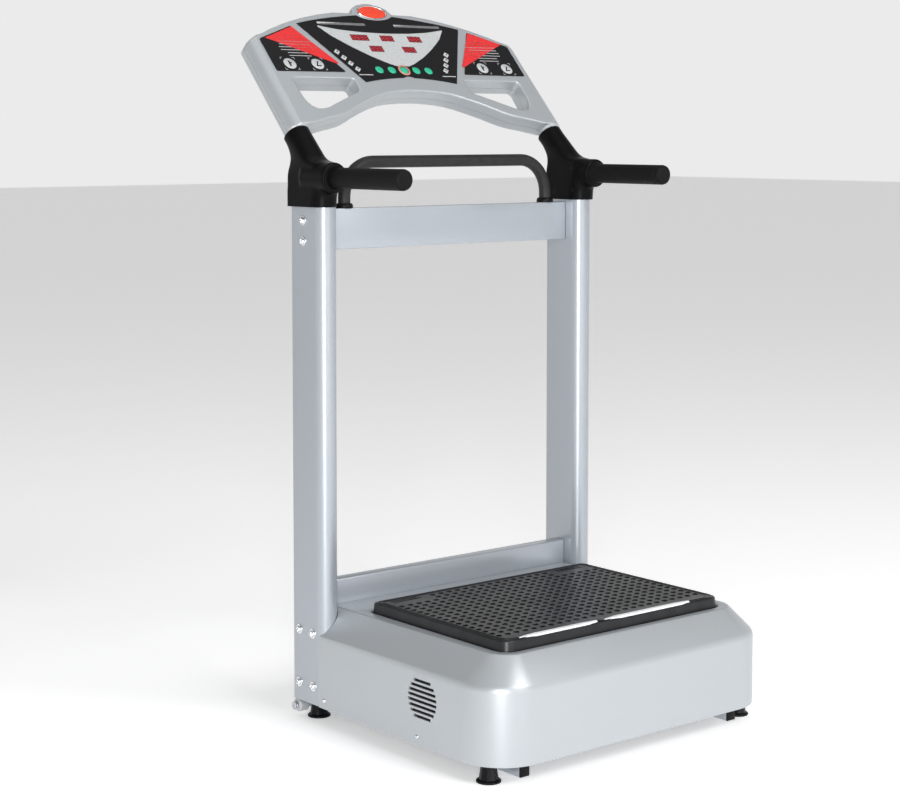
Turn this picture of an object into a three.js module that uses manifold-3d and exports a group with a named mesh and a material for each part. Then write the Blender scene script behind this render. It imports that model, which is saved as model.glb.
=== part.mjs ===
// Vibration plate: a rocking exercise platform with posts, grips and a tilted console.
// Millimetres, +Z up, +X to the user's right, +Y away from the user, floor at z = 0.
import * as THREE from 'three';
import { mergeVertices } from 'three/addons/utils/BufferGeometryUtils.js';
import Module from 'manifold-3d';

const wasm = await Module();
wasm.setup();

// ---- driving dimensions -------------------------------------------------------------------
// The modelling frame has y = 0 at the rear faces of the posts; the group then moves to the box centre.
const BOX_CENTRE_Y = -158.8;
const GAP = 0.3; // clearance kept between neighbouring pieces

const HALF_WIDTH = 320; // centre plane to the outer faces of posts and cover
const BASE_FRONT = -548;
const COVER_BOTTOM = 30;
const CREASE_Z = 155;
const PLATEAU_Z = 200;
const SHOULDER_SIDE = 46; // how far the plateau sits in from the side walls
const SHOULDER_FRONT = 39;
const CORNER_R = 82;
const COVER_WALL = 3;
const COVER_REAR = -54.6;

const POST_WIDTH = 41.4; // across, also the diameter of the round nose
const POST_DEPTH = 89;
const POST_WALL = 2;
const POST_BOTTOM = 31;
const POST_TOP = 905;
const POST_X = HALF_WIDTH - POST_WIDTH / 2;
const NOSE_Y = POST_WIDTH / 2 - POST_DEPTH; // centre of the nose arc

const BEAM_FRONT = -54;
const BEAM_DEPTH = 25;
const BEAM_HEIGHT = 71;
const TOP_BEAM_Z = 824.7;
const REAR_BEAM_Z = 172.3;
const BEAM_HALF = HALF_WIDTH - POST_WIDTH - 0.4;

const RAIL_X = 240;
const RAIL_WIDTH = 20;
const RAIL_BOTTOM = 5;
const RAIL_TOP = 45;
const RAIL_FRONT = -523;
const RAIL_REAR = -5;
const TUBE_WALL = 2;
const CROSS_BOTTOM = RAIL_TOP + GAP;
const CROSS_HEIGHT = 30;
const CROSS_TOP = CROSS_BOTTOM + CROSS_HEIGHT;

const FOOT_X = 289;
const FOOT_FRONT_Y = -494.6;
const FOOT_REAR_Y = -33.4;
const WHEEL_Y = 5.6;
const WHEEL_Z = 13.4;
const WHEEL_R = 12;
const WHEEL_IN = 288;
const WHEEL_OUT = 310;

const TREAD_HALF = 251;
const TREAD_FRONT = -490.5;
const TREAD_REAR = -135;
const TREAD_TOP = 216;
const TREAD_SKIRT = 192;
const TREAD_RADII = [28, 28, 12, 12]; // front pair, then rear pair
const TREAD_CLEARANCE = 4;

const PIVOT_Z = 120;
const PIVOT_R = 10;
const CRANK_X = 140;
const CRANK_Z = 100;
const CRANK_R = 8;
const THROW = 4; // eccentric offset
const ECCENTRIC_R = 14;
const ROD_TOP_Z = 165;
const FRONT_TUBE_Y = -430;
const REAR_TUBE_Y = -195;
const FRONT_ROD_Y = -400;
const REAR_ROD_Y = -225;
const BELT_Y = -165;
const MOTOR_X = -130;
const MOTOR_Z = 130;
const MOTOR_R = 48;
const MOTOR_PULLEY_R = 20;
const CRANK_PULLEY_R = 45;

const INLET_X = -80;
const INLET_Z = 122;
const SWITCH_X = INLET_X + 14;
const SWITCH_PIVOT_DEPTH = 5; // rocker axis below the housing's face

const GRIP_Z = 950.4;
const GRIP_END = -295.6;
const GRIP_R = 18;
const BAR_R = 14;
const COLLAR_Y = -111; // front face of the bracket's grip sleeve
const SLEEVE_R = 26.5;
const ARM_R = 22.5;
const ARM_TUBE_R = 16.5;
const SPLIT_X = 293; // plane where the bracket halves meet
const BRACKET_RING = 24; // points round the bracket's skin

const HANDRAIL_X = 236;
const HANDRAIL_Y = BEAM_FRONT + BEAM_DEPTH / 2;
const HANDRAIL_Z = 976;
const HANDRAIL_R = 11;
const HANDRAIL_BEND = 62;

const TILT = THREE.MathUtils.degToRad(42.8); // console face, back from the vertical
const PANEL_Y = 61.9;
const PANEL_Z = 1115.5;
const CONSOLE_DEPTH = 34;
const CONSOLE_SEAM = 20; // depth of the seam between front and back shell
const CONSOLE_WALL = 3;
const SIDE_X = 297; // axis of the console's round side edges
const SIDE_R = 21;
const SIDE_BOTTOM = -100;
const KEY_R = 9;
const DIAMOND_HALF = 6.8;

// ---- materials ----------------------------------------------------------------------------
const finish = (color, roughness, metalness) => new THREE.MeshStandardMaterial({ color, roughness, metalness });
const silverPaint = () => finish(0xbfc4c8, 0.45, 0.35);
const silverPlastic = () => finish(0xb9bec0, 0.5, 0.2);
const blackPlastic = () => finish(0x222224, 0.5, 0);
const rubber = () => finish(0x1a1a1b, 0.85, 0);
const steel = () => finish(0x9a9da0, 0.4, 0.9);
const greenPlastic = () => finish(0x52c08a, 0.4, 0);
const redPlastic = () => finish(0xe8413a, 0.35, 0);

// ---- solids -------------------------------------------------------------------------------
function solid(geometry) {
  const bare = geometry.clone();
  bare.deleteAttribute('normal');
  bare.deleteAttribute('uv');
  const merged = mergeVertices(bare, 1e-3);
  const vertProperties = new Float32Array(merged.attributes.position.array);
  const triVerts = new Uint32Array(merged.index.array);
  return new wasm.Manifold(new wasm.Mesh({ numProp: 3, vertProperties, triVerts }));
}

function geometryOf(manifold) {
  const mesh = manifold.getMesh();
  const geometry = new THREE.BufferGeometry();
  geometry.setAttribute('position', new THREE.BufferAttribute(new Float32Array(mesh.vertProperties), 3));
  geometry.setIndex(new THREE.BufferAttribute(new Uint32Array(mesh.triVerts), 1));
  return geometry;
}

const join = (...solids) => solids.reduce((whole, next) => whole.add(next));
const cut = (whole, ...tools) => tools.reduce((rest, tool) => rest.subtract(tool), whole);

function box(x0, x1, y0, y1, z0, z1) {
  const geometry = new THREE.BoxGeometry(x1 - x0, y1 - y0, z1 - z0);
  geometry.translate((x0 + x1) / 2, (y0 + y1) / 2, (z0 + z1) / 2);
  return solid(geometry);
}

// A cylinder about an axis parallel to Y, from y0 to y1.
function rodY(radius, x, z, y0, y1, sides = 20) {
  const geometry = new THREE.CylinderGeometry(radius, radius, y1 - y0, sides);
  geometry.translate(x, (y0 + y1) / 2, z);
  return solid(geometry);
}

function rodX(radius, y, z, x0, x1, sides = 16) {
  const geometry = new THREE.CylinderGeometry(radius, radius, x1 - x0, sides);
  geometry.rotateZ(Math.PI / 2);
  geometry.translate((x0 + x1) / 2, y, z);
  return solid(geometry);
}

function rodZ(topRadius, bottomRadius, x, y, z0, z1, sides = 24) {
  const geometry = new THREE.CylinderGeometry(topRadius, bottomRadius, z1 - z0, sides);
  geometry.rotateX(Math.PI / 2);
  geometry.translate(x, y, (z0 + z1) / 2);
  return solid(geometry);
}

// A flat outline in XY raised from z0 to z1.
function raise(shape, z0, z1, curveSegments = 6) {
  const geometry = new THREE.ExtrudeGeometry(shape, { depth: z1 - z0, bevelEnabled: false, curveSegments });
  geometry.translate(0, 0, z0);
  return solid(geometry);
}

function polygon(points) {
  return new THREE.Shape(points.map(([x, y]) => new THREE.Vector2(x, y)));
}

// A closed outline through the corners, each rounded off by its own radius.
function roundedOutline(corners, radii) {
  const path = new THREE.Shape();
  corners.forEach(([x, y], i) => {
    const corner = new THREE.Vector2(x, y);
    const before = new THREE.Vector2(...corners.at(i - 1)).sub(corner).normalize();
    const after = new THREE.Vector2(...corners[(i + 1) % corners.length]).sub(corner).normalize();
    const radius = Array.isArray(radii) ? radii[i] : radii;
    const start = corner.clone().addScaledVector(before, radius);
    const end = corner.clone().addScaledVector(after, radius);
    if (i === 0) path.moveTo(start.x, start.y);
    else path.lineTo(start.x, start.y);
    if (radius > 0) path.quadraticCurveTo(x, y, end.x, end.y);
  });
  path.closePath();
  return path;
}

const rectangle = (x0, x1, y0, y1) => [[x0, y0], [x1, y0], [x1, y1], [x0, y1]];

// Turns an outline drawn in YZ, extruded along Z, so that the extrusion runs along +X.
const AXES_YZX = new THREE.Matrix4().makeBasis(
  new THREE.Vector3(0, 1, 0),
  new THREE.Vector3(0, 0, 1),
  new THREE.Vector3(1, 0, 0),
);

// A square-cut tube along X or Y, open at both ends.
function boxTubeX(x0, x1, y0, y1, z0, z1) {
  const w = TUBE_WALL;
  return cut(box(x0, x1, y0, y1, z0, z1), box(x0 - 1, x1 + 1, y0 + w, y1 - w, z0 + w, z1 - w));
}

function boxTubeY(x0, x1, y0, y1, z0, z1) {
  const w = TUBE_WALL;
  return cut(box(x0, x1, y0, y1, z0, z1), box(x0 + w, x1 - w, y0 - 1, y1 + 1, z0 + w, z1 - w));
}

// A solid between two plan outlines with the same number of points.
function loft(lower, z0, upper, z1) {
  const count = lower.length;
  const position = [];
  lower.forEach((p) => position.push(p.x, p.y, z0));
  upper.forEach((p) => position.push(p.x, p.y, z1));
  const index = [];
  for (let i = 0; i < count; i += 1) {
    const j = (i + 1) % count;
    index.push(i, j, count + j, i, count + j, count + i);
  }
  THREE.ShapeUtils.triangulateShape(lower, []).forEach(([a, b, c]) => index.push(a, c, b));
  THREE.ShapeUtils.triangulateShape(upper, []).forEach(([a, b, c]) => {
    index.push(count + a, count + b, count + c);
  });
  const geometry = new THREE.BufferGeometry();
  geometry.setAttribute('position', new THREE.Float32BufferAttribute(position, 3));
  geometry.setIndex(index);
  return solid(geometry);
}

// A closed body through a row of rings with the same number of points each.
function skin(rings) {
  const count = rings[0].length;
  const last = (rings.length - 1) * count;
  const position = rings.flat().flatMap((point) => point.toArray());
  const index = [];
  for (let first = 0; first < last; first += count) {
    for (let i = 0; i < count; i += 1) {
      const a = first + i;
      const b = first + ((i + 1) % count);
      index.push(a, b, b + count, a, b + count, a + count);
    }
  }
  for (let i = 1; i + 1 < count; i += 1) {
    index.push(0, i + 1, i, last, last + i, last + i + 1);
  }
  const geometry = new THREE.BufferGeometry();
  geometry.setAttribute('position', new THREE.Float32BufferAttribute(position, 3));
  geometry.setIndex(index);
  return solid(geometry);
}

// ---- base ---------------------------------------------------------------------------------
// Plan outline of the cover, pulled in by "side" and "front" from the widest outline.
function coverOutline(side, front, rear) {
  const steps = 10;
  const radius = CORNER_R - Math.min(side, front);
  const x = HALF_WIDTH - side;
  const y = BASE_FRONT + front;
  const points = [new THREE.Vector2(x, rear), new THREE.Vector2(-x, rear)];
  for (let i = 0; i <= steps; i += 1) {
    const angle = Math.PI + (i / steps) * (Math.PI / 2);
    const cos = radius * Math.cos(angle);
    const sin = radius * Math.sin(angle);
    points.push(new THREE.Vector2(-x + radius + cos, y + radius + sin));
  }
  for (let i = 0; i <= steps; i += 1) {
    const angle = 1.5 * Math.PI + (i / steps) * (Math.PI / 2);
    const cos = radius * Math.cos(angle);
    const sin = radius * Math.sin(angle);
    points.push(new THREE.Vector2(x - radius + cos, y + radius + sin));
  }
  return points;
}

function coverForm(wall, bottom) {
  const wide = coverOutline(wall, wall, COVER_REAR - wall);
  const top = coverOutline(SHOULDER_SIDE + wall, SHOULDER_FRONT + wall, COVER_REAR - wall);
  return join(loft(wide, bottom, wide, CREASE_Z), loft(wide, CREASE_Z, top, PLATEAU_Z - wall));
}

// D-shaped plan of a post: flat rear and sides, half-round nose towards the user.
function postOutline(side, grow) {
  const half = POST_WIDTH / 2 + grow;
  const shape = new THREE.Shape();
  shape.moveTo(side * POST_X + half, grow);
  shape.lineTo(side * POST_X - half, grow);
  shape.lineTo(side * POST_X - half, NOSE_Y);
  shape.absarc(side * POST_X, NOSE_Y, half, Math.PI, 2 * Math.PI, false);
  shape.closePath();
  return shape;
}

function ventSlots(side) {
  const slots = 8;
  const pitch = 8.5;
  const ventY = -364;
  const ventZ = 108;
  const ventR = 37;
  const tools = [];
  for (let i = 0; i < slots; i += 1) {
    const rise = (i - (slots - 1) / 2) * pitch;
    const half = Math.sqrt(ventR * ventR - rise * rise);
    const x = side * HALF_WIDTH;
    const z = ventZ + rise;
    tools.push(box(x - 6, x + 6, ventY - half, ventY + half, z - 2.5, z + 2.5));
  }
  return tools;
}

function baseCover() {
  const opening = TREAD_CLEARANCE;
  const well = roundedOutline(
    rectangle(-TREAD_HALF - opening, TREAD_HALF + opening, TREAD_FRONT - opening, TREAD_REAR + opening),
    TREAD_RADII.map((radius) => radius + opening),
  );
  const postTools = [-1, 1].map((side) => raise(postOutline(side, 1.5), 0, 260, 10));
  const lugTools = [-1, 1].map((side) => box(side * 275.2 - 4.7, side * 275.2 + 4.7, -74, 0, 0, 178));
  const railTools = [-1, 1].map((side) => box(side * RAIL_X - 11.5, side * RAIL_X + 11.5, -70, -50, 0, 46.5));
  return cut(
    coverForm(0, COVER_BOTTOM),
    coverForm(COVER_WALL, COVER_BOTTOM - 5),
    raise(well, PLATEAU_Z - 20, PLATEAU_Z + 5),
    ...postTools,
    ...lugTools,
    ...railTools,
    ...ventSlots(-1),
    ...ventSlots(1),
    box(INLET_X - 25, INLET_X + 25, -65, -50, INLET_Z - 12, INLET_Z + 12),
  );
}

const footHole = (side, y) => rodZ(5.6, 5.6, side * FOOT_X, y, 20, 90, 12);

function frontCrossTube() {
  const half = 297;
  const y = FOOT_FRONT_Y;
  const tube = boxTubeX(-half, half, y - 20, y + 20, CROSS_BOTTOM, CROSS_TOP);
  return cut(tube, footHole(-1, y), footHole(1, y));
}

// Rear cross tube with the two welded side plates that carry the posts and the wheels.
function rearCrossTube() {
  const plateIn = 272.4;
  const plateOut = 277.8;
  const boltEnd = WHEEL_OUT + 0.6;
  const plate = polygon([[-72, 46], [-72, 170], [-8, 170], [-8, 60], [17, 34], [17, 4], [-8, 4], [-20, 46]]);
  const parts = [boxTubeX(-plateIn - 0.5, plateIn + 0.5, -53, -13, CROSS_BOTTOM, CROSS_TOP)];
  [-1, 1].forEach((side) => {
    const geometry = new THREE.ExtrudeGeometry(plate, { depth: plateOut - plateIn, bevelEnabled: false });
    geometry.applyMatrix4(AXES_YZX);
    geometry.translate(side > 0 ? plateIn : -plateOut, 0, 0);
    parts.push(solid(geometry));
    const span = (a, b) => (side > 0 ? [a, b] : [-b, -a]);
    parts.push(rodX(6.5, WHEEL_Y, WHEEL_Z, ...span(plateOut - 1, WHEEL_IN - 0.6)));
    parts.push(rodX(4, WHEEL_Y, WHEEL_Z, ...span(plateOut - 1, boltEnd + 1)));
    parts.push(rodX(7, WHEEL_Y, WHEEL_Z, ...span(boltEnd, boltEnd + 4.5)));
  });
  const accessHole = rodX(7, -33, 60, -plateOut - 1, plateOut + 1);
  return cut(join(...parts), accessHole);
}

function wheel(side) {
  const inner = side * WHEEL_IN;
  const outer = side * WHEEL_OUT;
  const x0 = Math.min(inner, outer);
  const x1 = Math.max(inner, outer);
  return cut(
    rodX(WHEEL_R, WHEEL_Y, WHEEL_Z, x0, x1, 24),
    rodX(4.4, WHEEL_Y, WHEEL_Z, x0 - 1, x1 + 1),
  );
}

// Levelling foot: round flange, eight-sided cone and threaded stem.
function foot(side, y) {
  const coneTop = 29;
  const stemTop = 68;
  const x = side * FOOT_X;
  return join(
    rodZ(20.5, 20.5, x, y, 0, 2.5),
    rodZ(18, 20.5, x, y, 2.5, 4.5),
    rodZ(12.5, 16, x, y, 4, coneTop, 8),
    rodZ(5, 5, x, y, coneTop - 1, stemTop, 12),
  );
}

function rail(side) {
  const x = side * RAIL_X;
  return boxTubeY(x - RAIL_WIDTH / 2, x + RAIL_WIDTH / 2, RAIL_FRONT, RAIL_REAR, RAIL_BOTTOM, RAIL_TOP);
}

function railCap(side) {
  const x = side * RAIL_X;
  const half = RAIL_WIDTH / 2;
  const plug = half - TUBE_WALL - GAP;
  return join(
    box(x - half, x + half, RAIL_FRONT - GAP - 3, RAIL_FRONT - GAP, RAIL_BOTTOM, RAIL_TOP),
    box(x - plug, x + plug, RAIL_FRONT - 1, RAIL_FRONT + 12, RAIL_BOTTOM + 2.3, RAIL_TOP - 2.3),
  );
}

// ---- posts and beams ----------------------------------------------------------------------
function post(side) {
  const footPlate = cut(raise(postOutline(side, -0.5), POST_BOTTOM, POST_BOTTOM + 5, 10), footHole(side, FOOT_REAR_Y));
  const tube = cut(
    raise(postOutline(side, 0), POST_BOTTOM, POST_TOP, 10),
    raise(postOutline(side, -POST_WALL), POST_BOTTOM - 1, POST_TOP + 1, 10),
  );
  return join(tube, footPlate);
}

const beam = (z) => boxTubeX(-BEAM_HALF, BEAM_HALF, BEAM_FRONT, BEAM_FRONT + BEAM_DEPTH, z, z + BEAM_HEIGHT);

// A quarter turn of the handrail in the XZ plane.
class BendCurve extends THREE.Curve {
  constructor(centre, radius, from, to) {
    super();
    Object.assign(this, { centre, radius, from, to });
  }

  getPoint(t, target = new THREE.Vector3()) {
    const angle = this.from + (this.to - this.from) * t;
    const x = this.centre.x + this.radius * Math.cos(angle);
    const z = this.centre.z + this.radius * Math.sin(angle);
    return target.set(x, this.centre.y, z);
  }
}

function handrail() {
  const foot0 = TOP_BEAM_Z + BEAM_HEIGHT + GAP;
  const point = (x, z) => new THREE.Vector3(x, HANDRAIL_Y, z);
  const bendZ = HANDRAIL_Z - HANDRAIL_BEND;
  const bendX = HANDRAIL_X - HANDRAIL_BEND;
  const path = new THREE.CurvePath();
  path.add(new THREE.LineCurve3(point(-HANDRAIL_X, foot0), point(-HANDRAIL_X, bendZ)));
  path.add(new BendCurve(point(-bendX, bendZ), HANDRAIL_BEND, Math.PI, Math.PI / 2));
  path.add(new THREE.LineCurve3(point(-bendX, HANDRAIL_Z), point(bendX, HANDRAIL_Z)));
  path.add(new BendCurve(point(bendX, bendZ), HANDRAIL_BEND, Math.PI / 2, 0));
  path.add(new THREE.LineCurve3(point(HANDRAIL_X, bendZ), point(HANDRAIL_X, foot0)));
  const section = new THREE.Shape();
  section.absarc(0, 0, HANDRAIL_R, 0, 2 * Math.PI, false);
  const geometry = new THREE.ExtrudeGeometry(section, { steps: 40, extrudePath: path, curveSegments: 6 });
  return solid(geometry);
}

function handrailCollar(side) {
  const z0 = TOP_BEAM_Z + BEAM_HEIGHT + GAP;
  const bore = HANDRAIL_R + GAP + 0.3;
  const profile = [[bore, 0], [15.5, 0], [15.5, 5.5], [13.5, 8.5], [bore, 8.5], [bore, 0]];
  const geometry = new THREE.LatheGeometry(profile.map(([r, h]) => new THREE.Vector2(r, h)), 20);
  geometry.rotateX(Math.PI / 2);
  geometry.translate(side * HANDRAIL_X, HANDRAIL_Y, z0);
  return solid(geometry);
}

// ---- arms, brackets and grips -------------------------------------------------------------
// Centre line of a console side edge: its position at height v along the tilted face.
function sideAxis(side, v) {
  const depth = SIDE_R;
  const y = PANEL_Y + v * Math.sin(TILT) + depth * Math.cos(TILT);
  const z = PANEL_Z + v * Math.cos(TILT) - depth * Math.sin(TILT);
  return new THREE.Vector3(side * SIDE_X, y, z);
}

function rodBetween(start, end, radius, sides = 24) {
  const along = end.clone().sub(start);
  const geometry = new THREE.CylinderGeometry(radius, radius, along.length(), sides);
  const turn = new THREE.Quaternion().setFromUnitVectors(new THREE.Vector3(0, 1, 0), along.clone().normalize());
  geometry.applyQuaternion(turn);
  geometry.translate(...start.clone().add(end).multiplyScalar(0.5).toArray());
  return solid(geometry);
}

// Welded steel arm: post insert, grip bar and the tube that carries the console.
function armFrame(side) {
  const x = side * POST_X;
  const insert = 15;
  return join(
    box(x - insert, x + insert, -62, -24, 855, 962),
    rodY(BAR_R, x, GRIP_Z, GRIP_END + 4, -40),
    rodBetween(sideAxis(side, -184), sideAxis(side, 10), ARM_TUBE_R),
  );
}

// Side profile of the bracket from the post up to the console's side edge, ring by ring:
// front y and z, rear y and z, half width, and how square the rear corners are.
const BRACKET_RINGS = [
  [-92.7, 900, 4, 900, 24.7, 1],
  [-94, 918, 4, 914, 24.7, 1],
  [-99, 934, 4, 930, 25.1, 1],
  [-102, 950, 4, 944, 25.5, 1],
  [-101, 966, 4, 955, 25.5, 1],
  [-92, 976, 4, 962, 25.3, 0.95],
  [-81, 977.3, 4, 968, 25, 0.85],
  [-70, 979.7, 4.6, 975, 24.2, 0.7],
  [-59.5, 986.5, 6.3, 982, 23.8, 0.5],
  [-50, 997, 9.2, 989.5, 23.4, 0.35],
  [-35, 1013, 14, 998.3, 23, 0.2],
  [-21, 1028, 20, 1006, 22.7, 0.08],
];

// One ring of the bracket's skin: half-round front, flat sides, and a rear that turns from square to
// round while the ring moves over from the post's axis to the console edge's.
function bracketRing(side, [frontY, frontZ, rearY, rearZ, half, square]) {
  const x = side * (SIDE_X + square * (POST_X - SIDE_X));
  const front = new THREE.Vector3(x, frontY, frontZ);
  const rearward = new THREE.Vector3(x, rearY, rearZ).sub(front);
  const length = rearward.length();
  rearward.normalize();
  const centre = front.addScaledVector(rearward, half);
  return Array.from({ length: BRACKET_RING }, (_, i) => {
    const angle = (2 * Math.PI * i) / BRACKET_RING;
    const cos = Math.cos(angle);
    const sin = Math.sin(angle);
    const reach = sin < 0 ? 1 : 1 - square + square * Math.max(Math.abs(cos), sin);
    const along = sin < 0 ? half : length - half;
    const point = centre.clone().addScaledVector(rearward, (along * sin) / reach);
    point.x += (half * cos) / reach;
    return point;
  });
}

// The ring where the bracket meets the console's round side edge.
function armRing(side) {
  const centre = sideAxis(side, SIDE_BOTTOM - GAP);
  const rearward = new THREE.Vector3(0, Math.cos(TILT), -Math.sin(TILT));
  return Array.from({ length: BRACKET_RING }, (_, i) => {
    const angle = (2 * Math.PI * i) / BRACKET_RING;
    const point = centre.clone().addScaledVector(rearward, ARM_R * Math.sin(angle));
    point.x += ARM_R * Math.cos(angle);
    return point;
  });
}

const bracketSkin = (side) => skin([...BRACKET_RINGS.map((ring) => bracketRing(side, ring)), armRing(side)]);

// Outer form of the moulded bracket around post top, grip root and console arm.
function bracketForm(side) {
  const x = side * POST_X;
  return join(
    bracketSkin(side),
    rodY(SLEEVE_R, x, GRIP_Z, COLLAR_Y + 4, -38),
    rodY(SLEEVE_R - 4, x, GRIP_Z, COLLAR_Y, -60),
  );
}

function bracketHalf(side, isOuter) {
  const x = side * POST_X;
  const split = SPLIT_X + (isOuter ? GAP : 0);
  const reach = isOuter ? 340 : 260;
  const x0 = Math.min(side * split, side * reach);
  const x1 = Math.max(side * split, side * reach);
  const half = bracketForm(side).intersect(box(x0, x1, -130, 60, 890, 1060));
  return cut(
    half,
    raise(postOutline(side, 0.5), 890, POST_TOP + 1, 10),
    box(x - 15.5, x + 15.5, -62.5, -23.5, 890, 962.5),
    rodY(BAR_R + 0.5, x, GRIP_Z, -130, -39.5),
    rodY(GRIP_R + 0.6, x, GRIP_Z, -130, COLLAR_Y + 8),
    rodBetween(sideAxis(side, -184.5), sideAxis(side, -60), ARM_TUBE_R + 0.5),
  );
}

function grip(side) {
  const x = side * POST_X;
  return cut(
    rodY(GRIP_R, x, GRIP_Z, GRIP_END, COLLAR_Y + 7, 24),
    rodY(BAR_R + 0.4, x, GRIP_Z, GRIP_END + 3.6, 0),
  );
}

// ---- console ------------------------------------------------------------------------------
// Panel frame: u along +X, v up the tilted face, n out of the face towards the user.
const panelMatrix = new THREE.Matrix4().makeBasis(
  new THREE.Vector3(1, 0, 0),
  new THREE.Vector3(0, Math.sin(TILT), Math.cos(TILT)),
  new THREE.Vector3(0, -Math.cos(TILT), Math.sin(TILT)),
).setPosition(0, PANEL_Y, PANEL_Z);

// An outline on the face, filled from height n0 to n1 along the face normal.
function onPanel(shape, n0, n1, curveSegments = 6, inset = 0) {
  const options = { depth: n1 - n0, bevelEnabled: inset > 0, curveSegments };
  if (inset > 0) Object.assign(options, { bevelThickness: 0.2, bevelSize: 0, bevelOffset: -inset, bevelSegments: 1 });
  const geometry = new THREE.ExtrudeGeometry(shape, options);
  geometry.translate(0, 0, n0);
  geometry.applyMatrix4(panelMatrix);
  return solid(geometry);
}

const mirrored = (points) => points.map(([u, v]) => [-u, v]);

const TOP_ARC_R = 610;
const TOP_ARC_V = 190.5;
const topEdge = (u) => TOP_ARC_V - TOP_ARC_R + Math.sqrt(TOP_ARC_R * TOP_ARC_R - u * u);

// Hand opening below a side label, for the right side.
const OPENING = [[130, 14], [267, 14], [262, -45], [247, -60], [228, -60], [130, -15]];
const OPENING_RADII = [4, 10, 12, 8, 14, 8];
const OUTLINE_STEPS = 3;

function consoleOutline(halfWidth) {
  const bumpU = 47;
  const bumpV = 184;
  const bumpHeight = 27;
  const lowerArch = [[235, -84], [190, -72], [140, -47], [75, -22], [0, -15]];
  const shape = new THREE.Shape();
  shape.moveTo(halfWidth, -94);
  shape.lineTo(halfWidth, topEdge(halfWidth));
  for (let i = 5; i >= 1; i -= 1) {
    const u = bumpU + ((halfWidth - bumpU) * i) / 6;
    shape.lineTo(u, topEdge(u));
  }
  shape.absellipse(0, bumpV, bumpU, bumpHeight, 0, Math.PI, false, 0);
  for (let i = 1; i <= 6; i += 1) {
    const u = bumpU + ((halfWidth - bumpU) * i) / 6;
    shape.lineTo(-u, topEdge(u));
  }
  shape.lineTo(-halfWidth, -94);
  shape.lineTo(-270, -94);
  const arch = [...mirrored(lowerArch), ...lowerArch.slice(0, -1).reverse(), [270, -94]];
  shape.splineThru(arch.map(([u, v]) => new THREE.Vector2(u, v)));
  shape.closePath();
  shape.holes.push(roundedOutline(OPENING, OPENING_RADII));
  shape.holes.push(roundedOutline(mirrored(OPENING), OPENING_RADII));
  return shape;
}

// Solid form of the console: a plate with round side edges, trimmed along the arched top.
function consoleForm() {
  const plate = onPanel(consoleOutline(300), -CONSOLE_DEPTH, 0, OUTLINE_STEPS);
  const edges = [-1, 1].map((side) => {
    const tube = rodBetween(sideAxis(side, SIDE_BOTTOM), sideAxis(side, 125), SIDE_R);
    const corner = [
      [side * 260, -130], [side * 325, -130], [side * 325, 84], [side * 314, topEdge(312)],
      [side * 260, topEdge(260)],
    ];
    return tube.intersect(onPanel(polygon(corner), -60, 10));
  });
  return join(plate, ...edges);
}

// Hollow inside the console shells and inside their round side edges.
function consoleHollow() {
  const room = onPanel(
    consoleOutline(300), CONSOLE_WALL - CONSOLE_DEPTH, -CONSOLE_WALL, OUTLINE_STEPS, CONSOLE_WALL,
  );
  const bores = [-1, 1].map((side) => rodBetween(sideAxis(side, SIDE_BOTTOM - 5), sideAxis(side, 60), 18));
  return join(room, ...bores);
}

const panelBand = (n0, n1) => onPanel(polygon(rectangle(-360, 360, -160, 240)), n0, n1);

const GREEN_KEYS = [-2, -1, 0, 1, 2].map((i) => [i * 29 - 2.5, 36.3]);
const LEFT_KEYS = [0, 1, 2, 3].map((i) => [-110.4 - 8.6 * i, 36.2 + 14.4 * i]);
const RIGHT_KEYS = [0, 1, 2, 3].map((i) => [97.8 + 8 * i, 37.1 + 14.2 * i]);
// LED windows: centre u, centre v, width.
const DISPLAYS = [[-64, 119, 42], [0, 119, 32], [66, 119, 33], [-38.7, 90.6, 32], [38.7, 90.6, 32]];
const DISPLAY_HEIGHT = 17;

function keyShape([u, v], isRound, grow) {
  if (!isRound) {
    const half = DIAMOND_HALF + grow;
    return polygon([[u, v - half], [u + half, v], [u, v + half], [u - half, v]]);
  }
  const shape = new THREE.Shape();
  shape.absarc(u, v, KEY_R + grow, 0, 2 * Math.PI, false);
  return shape;
}

function keyHoles() {
  const round = GREEN_KEYS.map((place) => onPanel(keyShape(place, true, 0.4), -10, 5, 8));
  const diamond = [...LEFT_KEYS, ...RIGHT_KEYS].map((place) => onPanel(keyShape(place, false, 0.3), -10, 5));
  return [...round, ...diamond];
}

const keyCap = (place, isRound) => onPanel(keyShape(place, isRound, 0), -5, 2, 8);

const windowShape = ([u, v, width], grow) => polygon(rectangle(
  u - width / 2 - grow, u + width / 2 + grow, v - DISPLAY_HEIGHT / 2 - grow, v + DISPLAY_HEIGHT / 2 + grow,
));

function consoleFront() {
  const shell = consoleForm().intersect(panelBand(-CONSOLE_SEAM, 30));
  const aperture = DISPLAYS.map((display) => onPanel(windowShape(display, 1.2), -10, 5));
  return cut(shell, consoleHollow(), ...aperture, ...keyHoles());
}

function consoleBack() {
  const shell = consoleForm().intersect(panelBand(-60, -CONSOLE_SEAM - GAP));
  return cut(shell, consoleHollow());
}

const LABEL_LOW = 0.3; // labels lie just above the face
const LABEL_HIGH = 1.1;

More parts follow.
